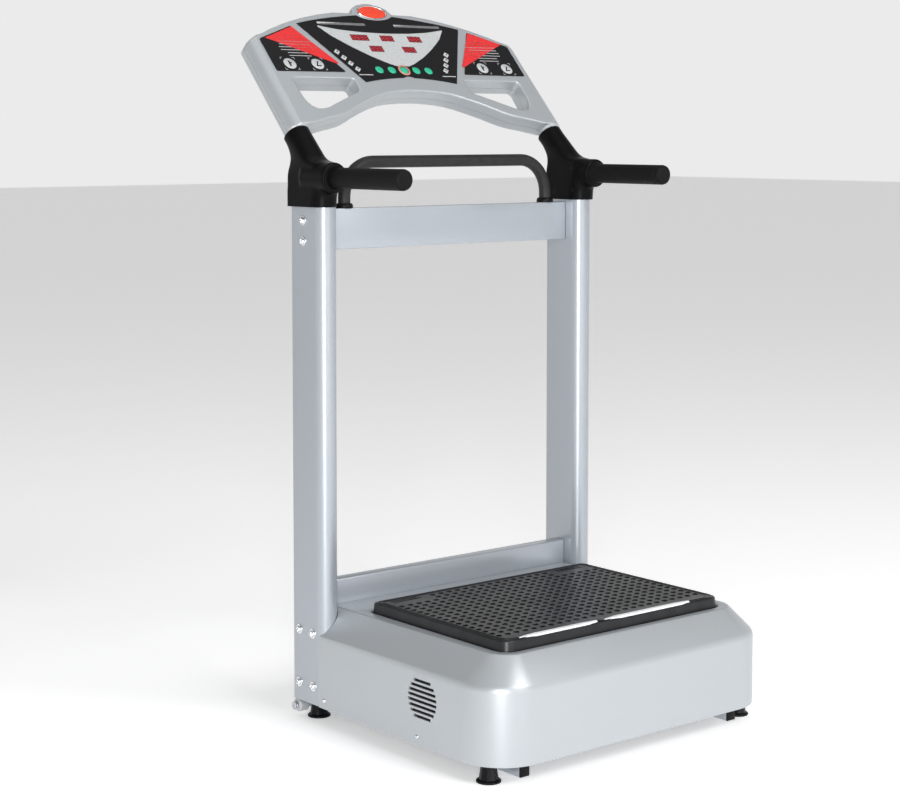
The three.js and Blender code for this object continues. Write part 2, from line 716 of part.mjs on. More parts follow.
function centreLabel() {
  const topU = 192;
  const shape = new THREE.Shape();
  shape.moveTo(107, 4);
  shape.lineTo(topU, 151);
  shape.quadraticCurveTo(125, 170, 42, 179);
  shape.quadraticCurveTo(28, 168, 0, 167);
  shape.quadraticCurveTo(-28, 168, -42, 179);
  shape.quadraticCurveTo(-125, 170, -topU, 151);
  shape.lineTo(-107, 4);
  shape.quadraticCurveTo(-60, 15, -13, 17);
  shape.quadraticCurveTo(0, 25, 13, 17);
  shape.quadraticCurveTo(60, 15, 107, 4);
  const sheet = onPanel(shape, LABEL_LOW, LABEL_HIGH, 5);
  const windows = DISPLAYS.map((display) => onPanel(windowShape(display, 0), -10, 5));
  return cut(sheet, ...windows, ...keyHoles());
}

const SIDE_LABEL = [[140, 29], [292, 28], [293, 108], [209, 144]];
const sideLabel = (points) => onPanel(roundedOutline(points, 4), LABEL_LOW, LABEL_HIGH, 3);

function badge() {
  const shape = new THREE.Shape();
  shape.absellipse(0, 188, 35, 17.5, 0, 2 * Math.PI, false, 0);
  return onPanel(shape, 0.3, 2.6, 16);
}

// Circuit board with the raised LED modules.
function displayBoard() {
  const board = onPanel(polygon(rectangle(-140, 140, 24, 140)), -12, -10.4);
  const modules = DISPLAYS.map((display) => onPanel(windowShape(display, 0.4), -11, -0.4));
  return join(board, ...modules);
}

// ---- platform and drive -------------------------------------------------------------------
function treadPlate() {
  const wall = 4;
  const outer = roundedOutline(rectangle(-TREAD_HALF, TREAD_HALF, TREAD_FRONT, TREAD_REAR), TREAD_RADII);
  const inner = roundedOutline(
    rectangle(-TREAD_HALF + wall, TREAD_HALF - wall, TREAD_FRONT + wall, TREAD_REAR - wall),
    TREAD_RADII.map((radius) => radius - wall),
  );
  return cut(raise(outer, TREAD_SKIRT, TREAD_TOP, 8), raise(inner, TREAD_SKIRT - 5, TREAD_TOP - 5, 8));
}

// Deck with ribs, the two pivot lugs and the forks that the connecting rods reach.
function platformFrame() {
  const deckTop = TREAD_TOP - 5 - GAP;
  const deckBottom = deckTop - 8;
  const ribBottom = deckBottom - 12;
  const lugs = [FRONT_ROD_Y, REAR_ROD_Y].flatMap((y) => [
    box(-225, 225, y - 15, y + 15, ribBottom, deckBottom + 1),
    cut(
      box(-24, 24, y - 6, y + 6, PIVOT_Z - 15, ribBottom + 1),
      rodY(PIVOT_R + GAP, 0, PIVOT_Z, y - 7, y + 7),
    ),
    box(CRANK_X - 9, CRANK_X + 9, y - 14, y - 10, ROD_TOP_Z - 8, ribBottom + 1),
    box(CRANK_X - 9, CRANK_X + 9, y + 10, y + 14, ROD_TOP_Z - 8, ribBottom + 1),
    rodY(4, CRANK_X, ROD_TOP_Z, y - 13, y + 13, 12),
  ]);
  return join(box(-240, 240, -476, -149, deckBottom, deckTop), ...lugs);
}

const pivotShaft = () => rodY(PIVOT_R, 0, PIVOT_Z, FRONT_TUBE_Y - 22, REAR_TUBE_Y + 12);

// Two cross tubes with the bearing housings of pivot and crank, and the motor's mounting plate.
function driveFrame() {
  const halfHousing = 12;
  const parts = [FRONT_TUBE_Y, REAR_TUBE_Y].flatMap((y) => [
    boxTubeX(-250, 250, y - 15, y + 15, CROSS_BOTTOM, CROSS_TOP),
    cut(
      box(-24, 24, y - halfHousing, y + halfHousing, CROSS_TOP - 1, PIVOT_Z + 20),
      rodY(PIVOT_R + 0.4, 0, PIVOT_Z, y - 20, y + 20),
    ),
    cut(
      box(CRANK_X - 19, CRANK_X + 19, y - halfHousing, y + halfHousing, CROSS_TOP - 1, CRANK_Z + 17),
      rodY(CRANK_R + 0.4, CRANK_X, CRANK_Z, y - 20, y + 20),
    ),
  ]);
  const plate = box(MOTOR_X - 60, MOTOR_X + 60, FRONT_TUBE_Y + 5, REAR_TUBE_Y - 5, CROSS_TOP - 0.5, CROSS_TOP + 4);
  return join(...parts, plate);
}

function motor() {
  const footTop = 100;
  return cut(
    join(
      rodY(MOTOR_R, MOTOR_X, MOTOR_Z, -352, -238, 24),
      rodY(MOTOR_R - 8, MOTOR_X, MOTOR_Z, -360, -230, 24),
      box(MOTOR_X - 32, MOTOR_X + 32, -340, -250, CROSS_TOP + 4 + GAP, footTop),
    ),
    rodY(5.5, MOTOR_X, MOTOR_Z, -250, -200, 16),
  );
}

const beltPulley = (radius, x, z) => rodY(radius, x, z, BELT_Y - 7, BELT_Y + 7, 24);

function motorPulley() {
  return join(
    beltPulley(MOTOR_PULLEY_R, MOTOR_X, MOTOR_Z),
    rodY(5, MOTOR_X, MOTOR_Z, -245, BELT_Y, 16),
  );
}

function crankshaft() {
  const disc = (y) => rodY(ECCENTRIC_R, CRANK_X + THROW, CRANK_Z, y - 8, y + 8, 24);
  return join(
    rodY(CRANK_R, CRANK_X, CRANK_Z, FRONT_TUBE_Y - 20, BELT_Y, 24),
    disc(FRONT_ROD_Y),
    disc(REAR_ROD_Y),
    beltPulley(CRANK_PULLEY_R, CRANK_X, CRANK_Z),
  );
}

// Connecting rod: ring round the eccentric, bar and a wide eye at the platform end.
function connectingRod(y) {
  const x = CRANK_X + THROW;
  const half = 7;
  const eyeBore = 13;
  const body = join(
    rodY(ECCENTRIC_R + 6, x, CRANK_Z, y - half, y + half, 24),
    box(x - 7, x + 7, y - half, y + half, CRANK_Z + 10, ROD_TOP_Z - 10),
    rodY(eyeBore + 4, x, ROD_TOP_Z, y - half, y + half),
  );
  return cut(
    body,
    rodY(ECCENTRIC_R + 0.4, x, CRANK_Z, y - 20, y + 20, 24),
    rodY(eyeBore, x, ROD_TOP_Z, y - 20, y + 20),
  );
}

// Outline of a belt round both pulleys at a distance from their rims, in X and Z.
function beltLoop(offset) {
  const small = MOTOR_PULLEY_R + offset;
  const large = CRANK_PULLEY_R + offset;
  const dx = CRANK_X - MOTOR_X;
  const dz = CRANK_Z - MOTOR_Z;
  const lean = Math.atan2(dz, dx);
  const spread = Math.acos((small - large) / Math.hypot(dx, dz));
  const steps = 12;
  const points = [];
  const sweep = (cx, cz, radius, from, to) => {
    for (let i = 0; i <= steps; i += 1) {
      const angle = from + ((to - from) * i) / steps;
      points.push([cx + radius * Math.cos(angle), cz + radius * Math.sin(angle)]);
    }
  };
  sweep(MOTOR_X, MOTOR_Z, small, lean + spread, lean + 2 * Math.PI - spread);
  sweep(CRANK_X, CRANK_Z, large, lean - spread, lean + spread);
  return polygon(points);
}

function driveBelt() {
  const shape = beltLoop(3.4);
  shape.holes.push(new THREE.Path(beltLoop(0.6).getPoints()));
  const geometry = new THREE.ExtrudeGeometry(shape, { depth: 12, bevelEnabled: false });
  geometry.rotateX(Math.PI / 2);
  geometry.translate(0, BELT_Y + 6, 0);
  return solid(geometry);
}

// ---- power entry --------------------------------------------------------------------------
// Combined inlet and switch housing, set in the rear wall of the cover.
function powerInlet() {
  const face = COVER_REAR + GAP;
  return cut(
    join(
      box(INLET_X - 29, INLET_X + 29, face, face + 2.2, INLET_Z - 16, INLET_Z + 16),
      box(INLET_X - 24.5, INLET_X + 24.5, face - 28, face + 1, INLET_Z - 11.5, INLET_Z + 11.5),
    ),
    box(INLET_X - 21, INLET_X + 3, face - 16, face + 5, INLET_Z - 8.5, INLET_Z + 8.5),
    box(SWITCH_X - 7, SWITCH_X + 7, face - 12, face + 5, INLET_Z - 9.5, INLET_Z + 9.5),
  );
}

// Rocker with a shallow hollow face, tipped to "off"; it turns about an axis along X.
function powerSwitch() {
  const halfWidth = 6.2;
  const tip = THREE.MathUtils.degToRad(-8);
  const rocker = polygon([[-4, -4], [8.2, -7.8], [6.4, 0], [8.2, 7.8], [-4, 4]]);
  const geometry = new THREE.ExtrudeGeometry(rocker, { depth: 2 * halfWidth, bevelEnabled: false });
  geometry.applyMatrix4(AXES_YZX);
  geometry.translate(-halfWidth, 0, 0);
  geometry.rotateX(tip);
  geometry.translate(SWITCH_X, COVER_REAR + GAP - SWITCH_PIVOT_DEPTH, INLET_Z);
  return solid(geometry);
}

// ---- assembly -----------------------------------------------------------------------------
const group = new THREE.Group();
group.position.set(0, -BOX_CENTRE_Y, 0);

function place(name, body, material) {
  const mesh = new THREE.Mesh(geometryOf(body), material);
  mesh.name = name;
  group.add(mesh);
}

const SIDES = [['left', -1], ['right', 1]];

place('base_cover', baseCover(), silverPaint());
place('front_cross_tube', frontCrossTube(), silverPaint());
place('rear_cross_tube', rearCrossTube(), silverPaint());
place('drive_frame', driveFrame(), silverPaint());
place('top_beam', beam(TOP_BEAM_Z), silverPaint());
place('rear_beam', beam(REAR_BEAM_Z), silverPaint());
place('handrail', handrail(), blackPlastic());
place('tread_plate', treadPlate(), rubber());
place('platform_frame', platformFrame(), steel());
place('pivot_shaft', pivotShaft(), steel());
place('motor', motor(), steel());
place('motor_pulley', motorPulley(), steel());
place('crankshaft', crankshaft(), steel());
place('drive_belt', driveBelt(), rubber());
place('front_connecting_rod', connectingRod(FRONT_ROD_Y), steel());
place('rear_connecting_rod', connectingRod(REAR_ROD_Y), steel());
place('power_inlet', powerInlet(), blackPlastic());
place('power_switch', powerSwitch(), redPlastic());

SIDES.forEach(([name, side]) => {
  place(`${name}_rail`, rail(side), silverPaint());
  place(`${name}_rail_cap`, railCap(side), blackPlastic());
  place(`${name}_post`, post(side), silverPaint());
  place(`${name}_arm_frame`, armFrame(side), steel());
  place(`${name}_bracket_outer`, bracketHalf(side, true), blackPlastic());
  place(`${name}_bracket_inner`, bracketHalf(side, false), blackPlastic());
  place(`${name}_grip`, grip(side), rubber());
  place(`${name}_handrail_collar`, handrailCollar(side), blackPlastic());
  place(`${name}_wheel`, wheel(side), silverPlastic());
  place(`front_${name}_foot`, foot(side, FOOT_FRONT_Y), rubber());
  place(`rear_${name}_foot`, foot(side, FOOT_REAR_Y), rubber());
  place(`${name}_label`, sideLabel(side > 0 ? SIDE_LABEL : mirrored(SIDE_LABEL)), blackPlastic());
});

place('console_front', consoleFront(), silverPlastic());
place('console_back', consoleBack(), silverPlastic());
place('centre_label', centreLabel(), blackPlastic());
place('badge', badge(), redPlastic());
place('display_board', displayBoard(), greenPlastic());
GREEN_KEYS.forEach((at, i) => place(`main_key_${i + 1}`, keyCap(at, true), greenPlastic()));
LEFT_KEYS.forEach((at, i) => place(`left_quick_key_${i + 1}`, keyCap(at, false), silverPlastic()));
RIGHT_KEYS.forEach((at, i) => place(`right_quick_key_${i + 1}`, keyCap(at, false), silverPlastic()));

export default group;
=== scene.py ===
import math

import bmesh
import bpy
from mathutils import Matrix, Vector


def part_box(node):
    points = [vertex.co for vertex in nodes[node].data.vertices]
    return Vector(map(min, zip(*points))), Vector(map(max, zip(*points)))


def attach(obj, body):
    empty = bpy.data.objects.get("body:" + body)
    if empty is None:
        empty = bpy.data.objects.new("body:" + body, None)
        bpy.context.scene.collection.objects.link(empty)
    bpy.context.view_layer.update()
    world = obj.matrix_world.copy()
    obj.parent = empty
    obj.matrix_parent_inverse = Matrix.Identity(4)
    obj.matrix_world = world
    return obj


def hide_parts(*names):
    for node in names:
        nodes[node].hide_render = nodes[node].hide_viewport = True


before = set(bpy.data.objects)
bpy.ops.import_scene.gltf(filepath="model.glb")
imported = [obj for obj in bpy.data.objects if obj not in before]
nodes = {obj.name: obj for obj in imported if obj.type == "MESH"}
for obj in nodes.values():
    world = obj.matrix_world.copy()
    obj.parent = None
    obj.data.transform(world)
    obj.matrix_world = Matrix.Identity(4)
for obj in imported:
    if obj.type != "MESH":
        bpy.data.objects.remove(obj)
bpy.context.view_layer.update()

REAR_Y = 0.1588  # rear faces of the posts
POST_X = 0.2993  # middle of each post, out from the centre line
GRIP_X = 0.3051  # axis of each grip
GRIP_Z = 0.9504
ARM_X = 0.2972  # axis of each round side edge of the console
TILT = math.radians(42.8)  # console face, back from the vertical
SIDES = (("left", -1), ("right", 1))

# The console face as a frame: x to the right, y up the slope, z out towards the user.
PANEL = Matrix((
    (1, 0, 0, 0),
    (0, math.sin(TILT), -math.cos(TILT), 0.0619 + REAR_Y),
    (0, math.cos(TILT), math.sin(TILT), 1.1155),
    (0, 0, 0, 1),
))


# ---- materials -------------------------------------------------------------------------------
class Finish:
    """A Principled material whose patterns are built from Object coordinates."""

    def __init__(self, name, colour, roughness, metallic=0.0, **sockets):
        self.material = bpy.data.materials.new(name)
        self.material.use_nodes = True
        self.tree = self.material.node_tree
        self.shader = self.tree.nodes["Principled BSDF"]
        self.shader.inputs["Base Color"].default_value = (*colour, 1)
        self.shader.inputs["Roughness"].default_value = roughness
        self.shader.inputs["Metallic"].default_value = metallic
        for socket, value in sockets.items():
            self.shader.inputs[socket.replace("_", " ")].default_value = value
        self.colour = colour
        self.roughness = roughness
        self.place = self.node("ShaderNodeTexCoord").outputs["Object"]

    def node(self, kind, **settings):
        made = self.tree.nodes.new(kind)
        for key, value in settings.items():
            setattr(made, key, value)
        return made

    def feed(self, socket, value):
        if isinstance(value, (int, float)):
            socket.default_value = value
        else:
            self.tree.links.new(value, socket)

    def maths(self, operation, a, b=0.0, c=0.0):
        made = self.node("ShaderNodeMath", operation=operation)
        for socket, value in zip(made.inputs, (a, b, c)):
            self.feed(socket, value)
        return made.outputs[0]

    def noise(self, scale, detail=3.0, stretch=None):
        source = self.place
        if stretch:
            mapping = self.node("ShaderNodeMapping")
            mapping.inputs["Scale"].default_value = stretch
            self.feed(mapping.inputs["Vector"], source)
            source = mapping.outputs[0]
        made = self.node("ShaderNodeTexNoise")
        made.inputs["Scale"].default_value = scale
        made.inputs["Detail"].default_value = detail
        self.feed(made.inputs["Vector"], source)
        return made.outputs["Fac"]

    def ramp(self, value, low, high, at=(0.35, 0.65)):
        made = self.node("ShaderNodeValToRGB")
        made.color_ramp.elements[0].position, made.color_ramp.elements[1].position = at
        made.color_ramp.elements[0].color = (*low, 1)
        made.color_ramp.elements[1].color = (*high, 1)
        self.feed(made.inputs[0], value)
        return made.outputs[0]

    def range(self, value, low, high):
        made = self.node("ShaderNodeMapRange")
        made.inputs["To Min"].default_value = low
        made.inputs["To Max"].default_value = high
        self.feed(made.inputs["Value"], value)
        return made.outputs[0]

    def tint(self, value, spread, at=(0.35, 0.65)):
        """Base colour that varies about the plain one."""
        low = [max(0.0, c * (1 - spread)) for c in self.colour]
        high = [min(1.0, c * (1 + spread)) for c in self.colour]
        self.feed(self.shader.inputs["Base Color"], self.ramp(value, low, high, at))

    def wear(self, value, spread):
        self.feed(self.shader.inputs["Roughness"],
                  self.range(value, self.roughness - spread, self.roughness + spread))

    def bump(self, height, depth, strength=1.0):
        made = self.node("ShaderNodeBump")
        made.inputs["Strength"].default_value = strength
        made.inputs["Distance"].default_value = depth
        self.feed(made.inputs["Height"], height)
        self.feed(self.shader.inputs["Normal"], made.outputs[0])


def metallic_paint(name, colour, roughness, metallic=0.45):
    paint = Finish(name, colour, roughness, metallic, Coat_Weight=0.25, Coat_Roughness=0.22)
    paint.tint(paint.noise(2600, 2), 0.055)
    paint.wear(paint.noise(14, 4), 0.035)
    paint.bump(paint.noise(420, 2), 0.00006, 0.22)
    return paint.material


def moulded(name, colour, roughness, grain, depth, gloss=0.20):
    plastic = Finish(name, colour, roughness, Specular_IOR_Level=gloss)
    plastic.tint(plastic.noise(60, 4), 0.10)
    plastic.wear(plastic.noise(25, 3), 0.05)
    plastic.bump(plastic.noise(grain, 4), depth, 0.45)
    return plastic.material


def bare_metal(name, colour, roughness, stretch):
    metal = Finish(name, colour, roughness, 1.0)
    metal.tint(metal.noise(180, 3, stretch), 0.10)
    metal.wear(metal.noise(120, 3, stretch), 0.08)
    metal.bump(metal.noise(500, 2, stretch), 0.00004, 0.3)
    return metal.material


def foam_sleeve(name):
    foam = Finish(name, (0.0080, 0.0073, 0.0075), 0.55, Specular_IOR_Level=0.09)
    foam.tint(foam.noise(900, 3), 0.35)
    foam.bump(foam.noise(1500, 3), 0.00025, 0.5)
    return foam.material


def studded_rubber(name):
    """Moulded mat: fine grain, and a faint tone that varies at random across it."""
    mat = Finish(name, (0.0100, 0.0105, 0.0120), 0.36, Specular_IOR_Level=0.42)
    mat.tint(mat.noise(34, 5), 0.30)
    mat.wear(mat.noise(18, 4), 0.07)
    mat.bump(mat.noise(1100, 3), 0.00012, 0.4)
    return mat.material


def printed(name, colour, roughness=0.30):
    film = Finish(name, colour, roughness, Specular_IOR_Level=0.22)
    film.tint(film.noise(260, 3), 0.07)
    film.wear(film.noise(30, 3), 0.04)
    film.bump(film.noise(700, 2), 0.00003, 0.25)
    return film.material


def lit(name, colour, strength):
    glow = Finish(name, colour, 0.4, Emission_Strength=strength)
    glow.shader.inputs["Emission Color"].default_value = (*colour, 1)
    glow.tint(glow.noise(900, 2), 0.15)
    return glow.material


SILVER = metallic_paint("silver powder coat", (0.405, 0.435, 0.473), 0.31, 0.50)
SILVER_SHELL = metallic_paint("silver shell paint", (0.435, 0.462, 0.485), 0.36, 0.42)
BLACK_SHELL = moulded("black moulded shell", (0.0040, 0.0040, 0.0043), 0.32, 1400, 0.0001, 0.07)
BLACK_PAINT = moulded("black powder coat", (0.022, 0.0215, 0.0215), 0.46, 2200, 0.00005)
BLACK_CAP = moulded("black cap plastic", (0.005, 0.005, 0.005), 0.36, 1600, 0.0001, 0.12)
FOAM = foam_sleeve("black foam sleeve")
MAT = studded_rubber("black studded rubber")
FOOT_RUBBER = moulded("black foot rubber", (0.005, 0.005, 0.006), 0.24, 700, 0.0001)
BELT = moulded("black belt rubber", (0.012, 0.012, 0.012), 0.70, 900, 0.0002)
CHROME = bare_metal("bright chrome", (0.86, 0.87, 0.88), 0.13, (1, 1, 1))
STEEL = bare_metal("turned steel", (0.50, 0.51, 0.52), 0.30, (1, 14, 1))
CAST = bare_metal("cast aluminium", (0.62, 0.63, 0.64), 0.48, (1, 1, 1))
PRIMER = metallic_paint("grey primer", (0.16, 0.165, 0.17), 0.55, 0.1)
WHEEL_GREY = moulded("light grey wheel plastic", (0.50, 0.52, 0.53), 0.45, 800, 0.0001)
FILM_BLACK = printed("label film black", (0.0085, 0.0085, 0.0095))
FILM_RED = printed("label film red", (0.62, 0.032, 0.034))
FILM_SILVER = printed("label film silver", (0.44, 0.455, 0.46), 0.36)
STRIP_SILVER = printed("bright strip", (0.86, 0.88, 0.89), 0.25)
FILM_WHITE = printed("label film pale lines", (0.45, 0.45, 0.45), 0.45)
BADGE_RED = printed("badge red dome", (0.68, 0.060, 0.032), 0.18)
KEY_GREEN = printed("green key cap", (0.030, 0.40, 0.235), 0.28)
KEY_SILVER = printed("silver key cap", (0.46, 0.47, 0.47), 0.35)
KEY_RING = printed("copper key ring", (0.55, 0.22, 0.17), 0.30)
LED_GLASS = printed("dark red display window", (0.10, 0.010, 0.016), 0.20)
LED_RED = lit("lit red digit", (0.50, 0.035, 0.045), 0.30)
SWITCH_RED = printed("red rocker", (0.60, 0.02, 0.02), 0.30)
BOARD = moulded("green circuit board", (0.02, 0.12, 0.06), 0.40, 900, 0.0001)


# ---- making pieces ---------------------------------------------------------------------------
def piece(name, bm, material, body, stands_for=(), smooth=35.0):
    mesh = bpy.data.meshes.new(name)
    bm.to_mesh(mesh)
    bm.free()
    made = bpy.data.objects.new(name, mesh)
    bpy.context.scene.collection.objects.link(made)
    mesh.materials.append(material)
    shade(made, smooth)
    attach(made, body)
    if stands_for:
        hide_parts(*([stands_for] if isinstance(stands_for, str) else stands_for))
    return made


def shade(made, degrees):
    made.data.shade_smooth()
    made.data.set_sharp_from_angle(angle=math.radians(degrees))


def copy_of(node):
    """The CAD node's mesh, merged and with its flat areas made whole."""
    bm = bmesh.new()
    bm.from_mesh(nodes[node].data)
    bmesh.ops.remove_doubles(bm, verts=bm.verts, dist=1e-5)
    bmesh.ops.dissolve_limit(bm, angle_limit=math.radians(0.6), verts=bm.verts, edges=bm.edges)
    return bm


def round_edges(bm, edges, width, segments=3):
    bmesh.ops.bevel(bm, geom=list(edges), offset=width, offset_type="OFFSET", segments=segments,
                    affect="EDGES", profile=0.5, material=-1, clamp_overlap=False, loop_slide=True)


def sharp_edges(bm, degrees=30):
    limit = math.radians(degrees)
    return [e for e in bm.edges if len(e.link_faces) == 2 and e.calc_face_angle(0) > limit]


def dressed(node, material, body, width=0.0008, degrees=30, segments=2, smooth=35.0):
    """A merged copy of a CAD node with its edges rounded, in place of the node."""
    bm = copy_of(node)
    edges = sharp_edges(bm, degrees)
    if width:
        bmesh.ops.bevel(bm, geom=edges, offset=width, offset_type="OFFSET", segments=segments,
                        affect="EDGES", profile=0.5, material=-1, clamp_overlap=True)
    return piece(f"{node}_finished", bm, material, body, node, smooth)


def turned(profile, steps=48):
    """A round piece: (radius, height) points spun about the Z axis."""
    bm = bmesh.new()
    verts = [bm.verts.new((r, 0, h)) for r, h in profile]
    edges = [bm.edges.new(pair) for pair in zip(verts, verts[1:])]
    bmesh.ops.spin(bm, geom=verts + edges, cent=(0, 0, 0), axis=(0, 0, 1), angle=2 * math.pi,
                   steps=steps, use_merge=True)
    bmesh.ops.remove_doubles(bm, verts=bm.verts, dist=1e-6)
    bmesh.ops.recalc_face_normals(bm, faces=bm.faces)
    return bm


def toward(axis, at):
    """A matrix that stands a Z-wise piece along an axis at a point."""
    turn = Vector((0, 0, 1)).rotation_difference(Vector(axis)).to_matrix().to_4x4()
    return Matrix.Translation(Vector(at)) @ turn


def slab(points, low, high, corner=0.0, segments=4, edge=0.0):
    """A flat outline raised from low to high, with rounded corners and a softened rim."""
    bm = bmesh.new()
    verts = [bm.verts.new((x, y, low)) for x, y in points]
    bm.faces.new(verts)
    if corner:
        bmesh.ops.bevel(bm, geom=list(bm.verts), offset=corner, offset_type="OFFSET", segments=segments,
                        affect="VERTICES", profile=0.5, material=-1, clamp_overlap=True)
    grown = bmesh.ops.extrude_face_region(bm, geom=list(bm.faces))
    top = [v for v in grown["geom"] if isinstance(v, bmesh.types.BMVert)]
    bmesh.ops.translate(bm, verts=top, vec=(0, 0, high - low))
    bmesh.ops.recalc_face_normals(bm, faces=bm.faces)
    if edge:
        rim = [e for e in bm.edges if all(abs(v.co.z - high) < 1e-7 for v in e.verts)
               and e.calc_face_angle(0) > 0.5]
        round_edges(bm, rim, edge, 2)
    return bm


def gather(parts):
    """Several meshes as one."""
    whole = bmesh.new()
    for bm, matrix in parts:
        bmesh.ops.transform(bm, matrix=matrix, verts=bm.verts)
        mesh = bpy.data.meshes.new("part")
        bm.to_mesh(mesh)
        bm.free()
        whole.from_mesh(mesh)
        bpy.data.meshes.remove(mesh)
    return whole


def applied(made):
    """The object's mesh with its modifiers applied."""
    graph = bpy.context.evaluated_depsgraph_get()
    graph.update()
    mesh = bpy.data.meshes.new_from_object(made.evaluated_get(graph))
    made.modifiers.clear()
    made.data = mesh
    return made


def bolt_head(radius, height, washer):
    """Domed head with a round recess, on its washer."""
    dome = [(0, height * 0.45), (radius * 0.45, height * 0.45), (radius * 0.52, height * 0.97),
            (radius * 0.72, height * 0.9), (radius * 0.92, height * 0.6), (radius, height * 0.25),
            (radius, 0.0012), (washer - 0.0004, 0.0012), (washer, 0.0008), (washer, 0)]
    return turned(dome, 24)


# ---- base ------------------------------------------------------------------------------------
def base_cover():
    bm = copy_of("base_cover")
    low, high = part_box("base_cover")
    crease_z = 0.155
    outer = [e for e in sharp_edges(bm, 20) if all(abs(v.co.z - crease_z) < 1e-4 for v in e.verts)]
    bmesh.ops.bevel(bm, geom=outer, offset=0.007, offset_type="OFFSET", segments=4, affect="EDGES",
                    profile=0.5, material=-1, clamp_overlap=False)
    rim = [e for e in sharp_edges(bm, 20) if all(abs(v.co.z - high.z) < 1e-4 for v in e.verts)]
    bmesh.ops.bevel(bm, geom=rim, offset=0.0022, offset_type="OFFSET", segments=3, affect="EDGES",
                    profile=0.5, material=-1, clamp_overlap=True)
    return piece("base_cover_finished", bm, SILVER_SHELL, "frame", "base_cover", 30)


def tread():
    """The mat: two rounded edge beads, and sunk pips in even rows, each with a raised lip."""
    low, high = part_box("tread_plate")
    middle_y = (low.y + high.y) / 2
    half_x, half_y = (high.x - low.x) / 2, (high.y - low.y) / 2
    top = high.z
    corners = [(-half_x, -half_y), (half_x, -half_y), (half_x, half_y), (-half_x, half_y)]
    bm = mat_outline(corners, low.z, top)
    rim = [v for v in bm.verts if abs(v.co.z - top) < 1e-6]
    draft = 0.0022
    bmesh.ops.scale(bm, verts=rim, vec=(1 - draft / half_x, 1 - draft / half_y, 1))
    walls = [e for e in bm.edges if all(abs(v.co.z - top) < 1e-6 for v in e.verts)]
    round_edges(bm, walls, 0.0024, 4)
    bottom = [f for f in bm.faces if f.calc_center_median().z < low.z + 1e-5]
    bmesh.ops.inset_region(bm, faces=bottom, thickness=0.004, use_even_offset=True)
    pushed = bmesh.ops.extrude_face_region(bm, geom=bottom)
    inner = [v for v in pushed["geom"] if isinstance(v, bmesh.types.BMVert)]
    bmesh.ops.translate(bm, verts=inner, vec=(0, 0, top - 0.0052 - low.z))
    bmesh.ops.delete(bm, geom=bottom, context="FACES")
    bmesh.ops.translate(bm, verts=bm.verts, vec=(0, middle_y, 0))
    bmesh.ops.recalc_face_normals(bm, faces=bm.faces)
    plate = piece("tread_mat", bm, MAT, "platform", "tread_plate", 32)

    centres = [(-0.228 + 0.019 * i, low.y + 0.042 + 0.017 * j) for j in range(18) for i in range(25)
               if j < 16 or not 0.150 < abs(-0.228 + 0.019 * i) < 0.240]
    cutter = gather([(circle_plug(0.0043, top - 0.0026, top + 0.002, 12), Matrix.Translation((x, y, 0)))
                     for x, y in centres]
                    + [(box_between((x - 0.030, y - 0.0022, top - 0.003),
                                    (x + 0.030, y + 0.0022, top + 0.002)), Matrix.Identity(4))
                       for x in (-0.193, 0.193) for y in (high.y - 0.020, high.y - 0.0285)])
    tool = bpy.data.objects.new("cutter", bpy.data.meshes.new("cutter"))
    cutter.to_mesh(tool.data)
    cutter.free()
    bpy.context.scene.collection.objects.link(tool)
    carve = plate.modifiers.new("studs", "BOOLEAN")
    carve.operation = "DIFFERENCE"
    carve.solver = "EXACT"
    carve.object = tool
    applied(plate)
    bpy.data.objects.remove(tool)
    shade(plate, 32)

    lip = [(0.0045, 0.0), (0.0048, 0.0005), (0.0056, 0.0004), (0.0061, 0.0)]
    lips = gather([(turned(lip, 12), Matrix.Translation((x, y, top))) for x, y in centres])
    piece("tread_lips", lips, MAT, "platform", (), 60)

    for inset, height in ((0.0065, 0.0010), (0.0125, 0.0008)):
        shrunk = [(x * (1 - inset / half_x), y * (1 - inset / half_y)) for x, y in corners]
        bead = mat_outline(shrunk, top - 0.0003, top + height)
        crown = [f for f in bead.faces if f.normal.z > 0.9]
        bmesh.ops.inset_region(bead, faces=crown, thickness=0.0016, use_even_offset=True)
        sunk = list({v for f in crown for v in f.verts})
        bmesh.ops.translate(bead, verts=sunk, vec=(0, 0, -height - 0.0001))
        bmesh.ops.translate(bead, verts=bead.verts, vec=(0, middle_y, 0))
        piece(f"tread_bead_{round(inset * 10000)}", bead, MAT, "platform", (), 50)

    strip_y = low.y + 0.0085
    for name, start, finish in (("left", -0.213, -0.041), ("right", -0.025, 0.178)):
        points = [(start, -0.0010), (start + 0.03, -0.0055), (finish - 0.02, -0.0055), (finish, -0.0030),
                  (finish, 0.0035), (finish - 0.03, 0.0062), (start + 0.03, 0.0062), (start, 0.0020)]
        strip = slab(points, top - 0.0006, top + 0.0022, 0.0015, 3)
        crown = [v for v in strip.verts if v.co.z > top + 0.002]
        bmesh.ops.translate(strip, verts=[v for v in crown if v.co.y < 0], vec=(0, 0.0026, 0))
        round_edges(strip, [e for e in sharp_edges(strip, 25) if all(v.co.z > top + 0.002 for v in e.verts)],
                    0.0005, 2)
        bmesh.ops.translate(strip, verts=strip.verts, vec=(0, strip_y, 0))
        piece(f"{name}_tread_strip", strip, STRIP_SILVER, "platform")
    clip = box_between((-0.040, strip_y - 0.004, top - 0.0004), (-0.026, strip_y + 0.004, top + 0.0016))
    round_edges(clip, sharp_edges(clip), 0.0006, 2)
    piece("tread_strip_clip", clip, BLACK_CAP, "platform")


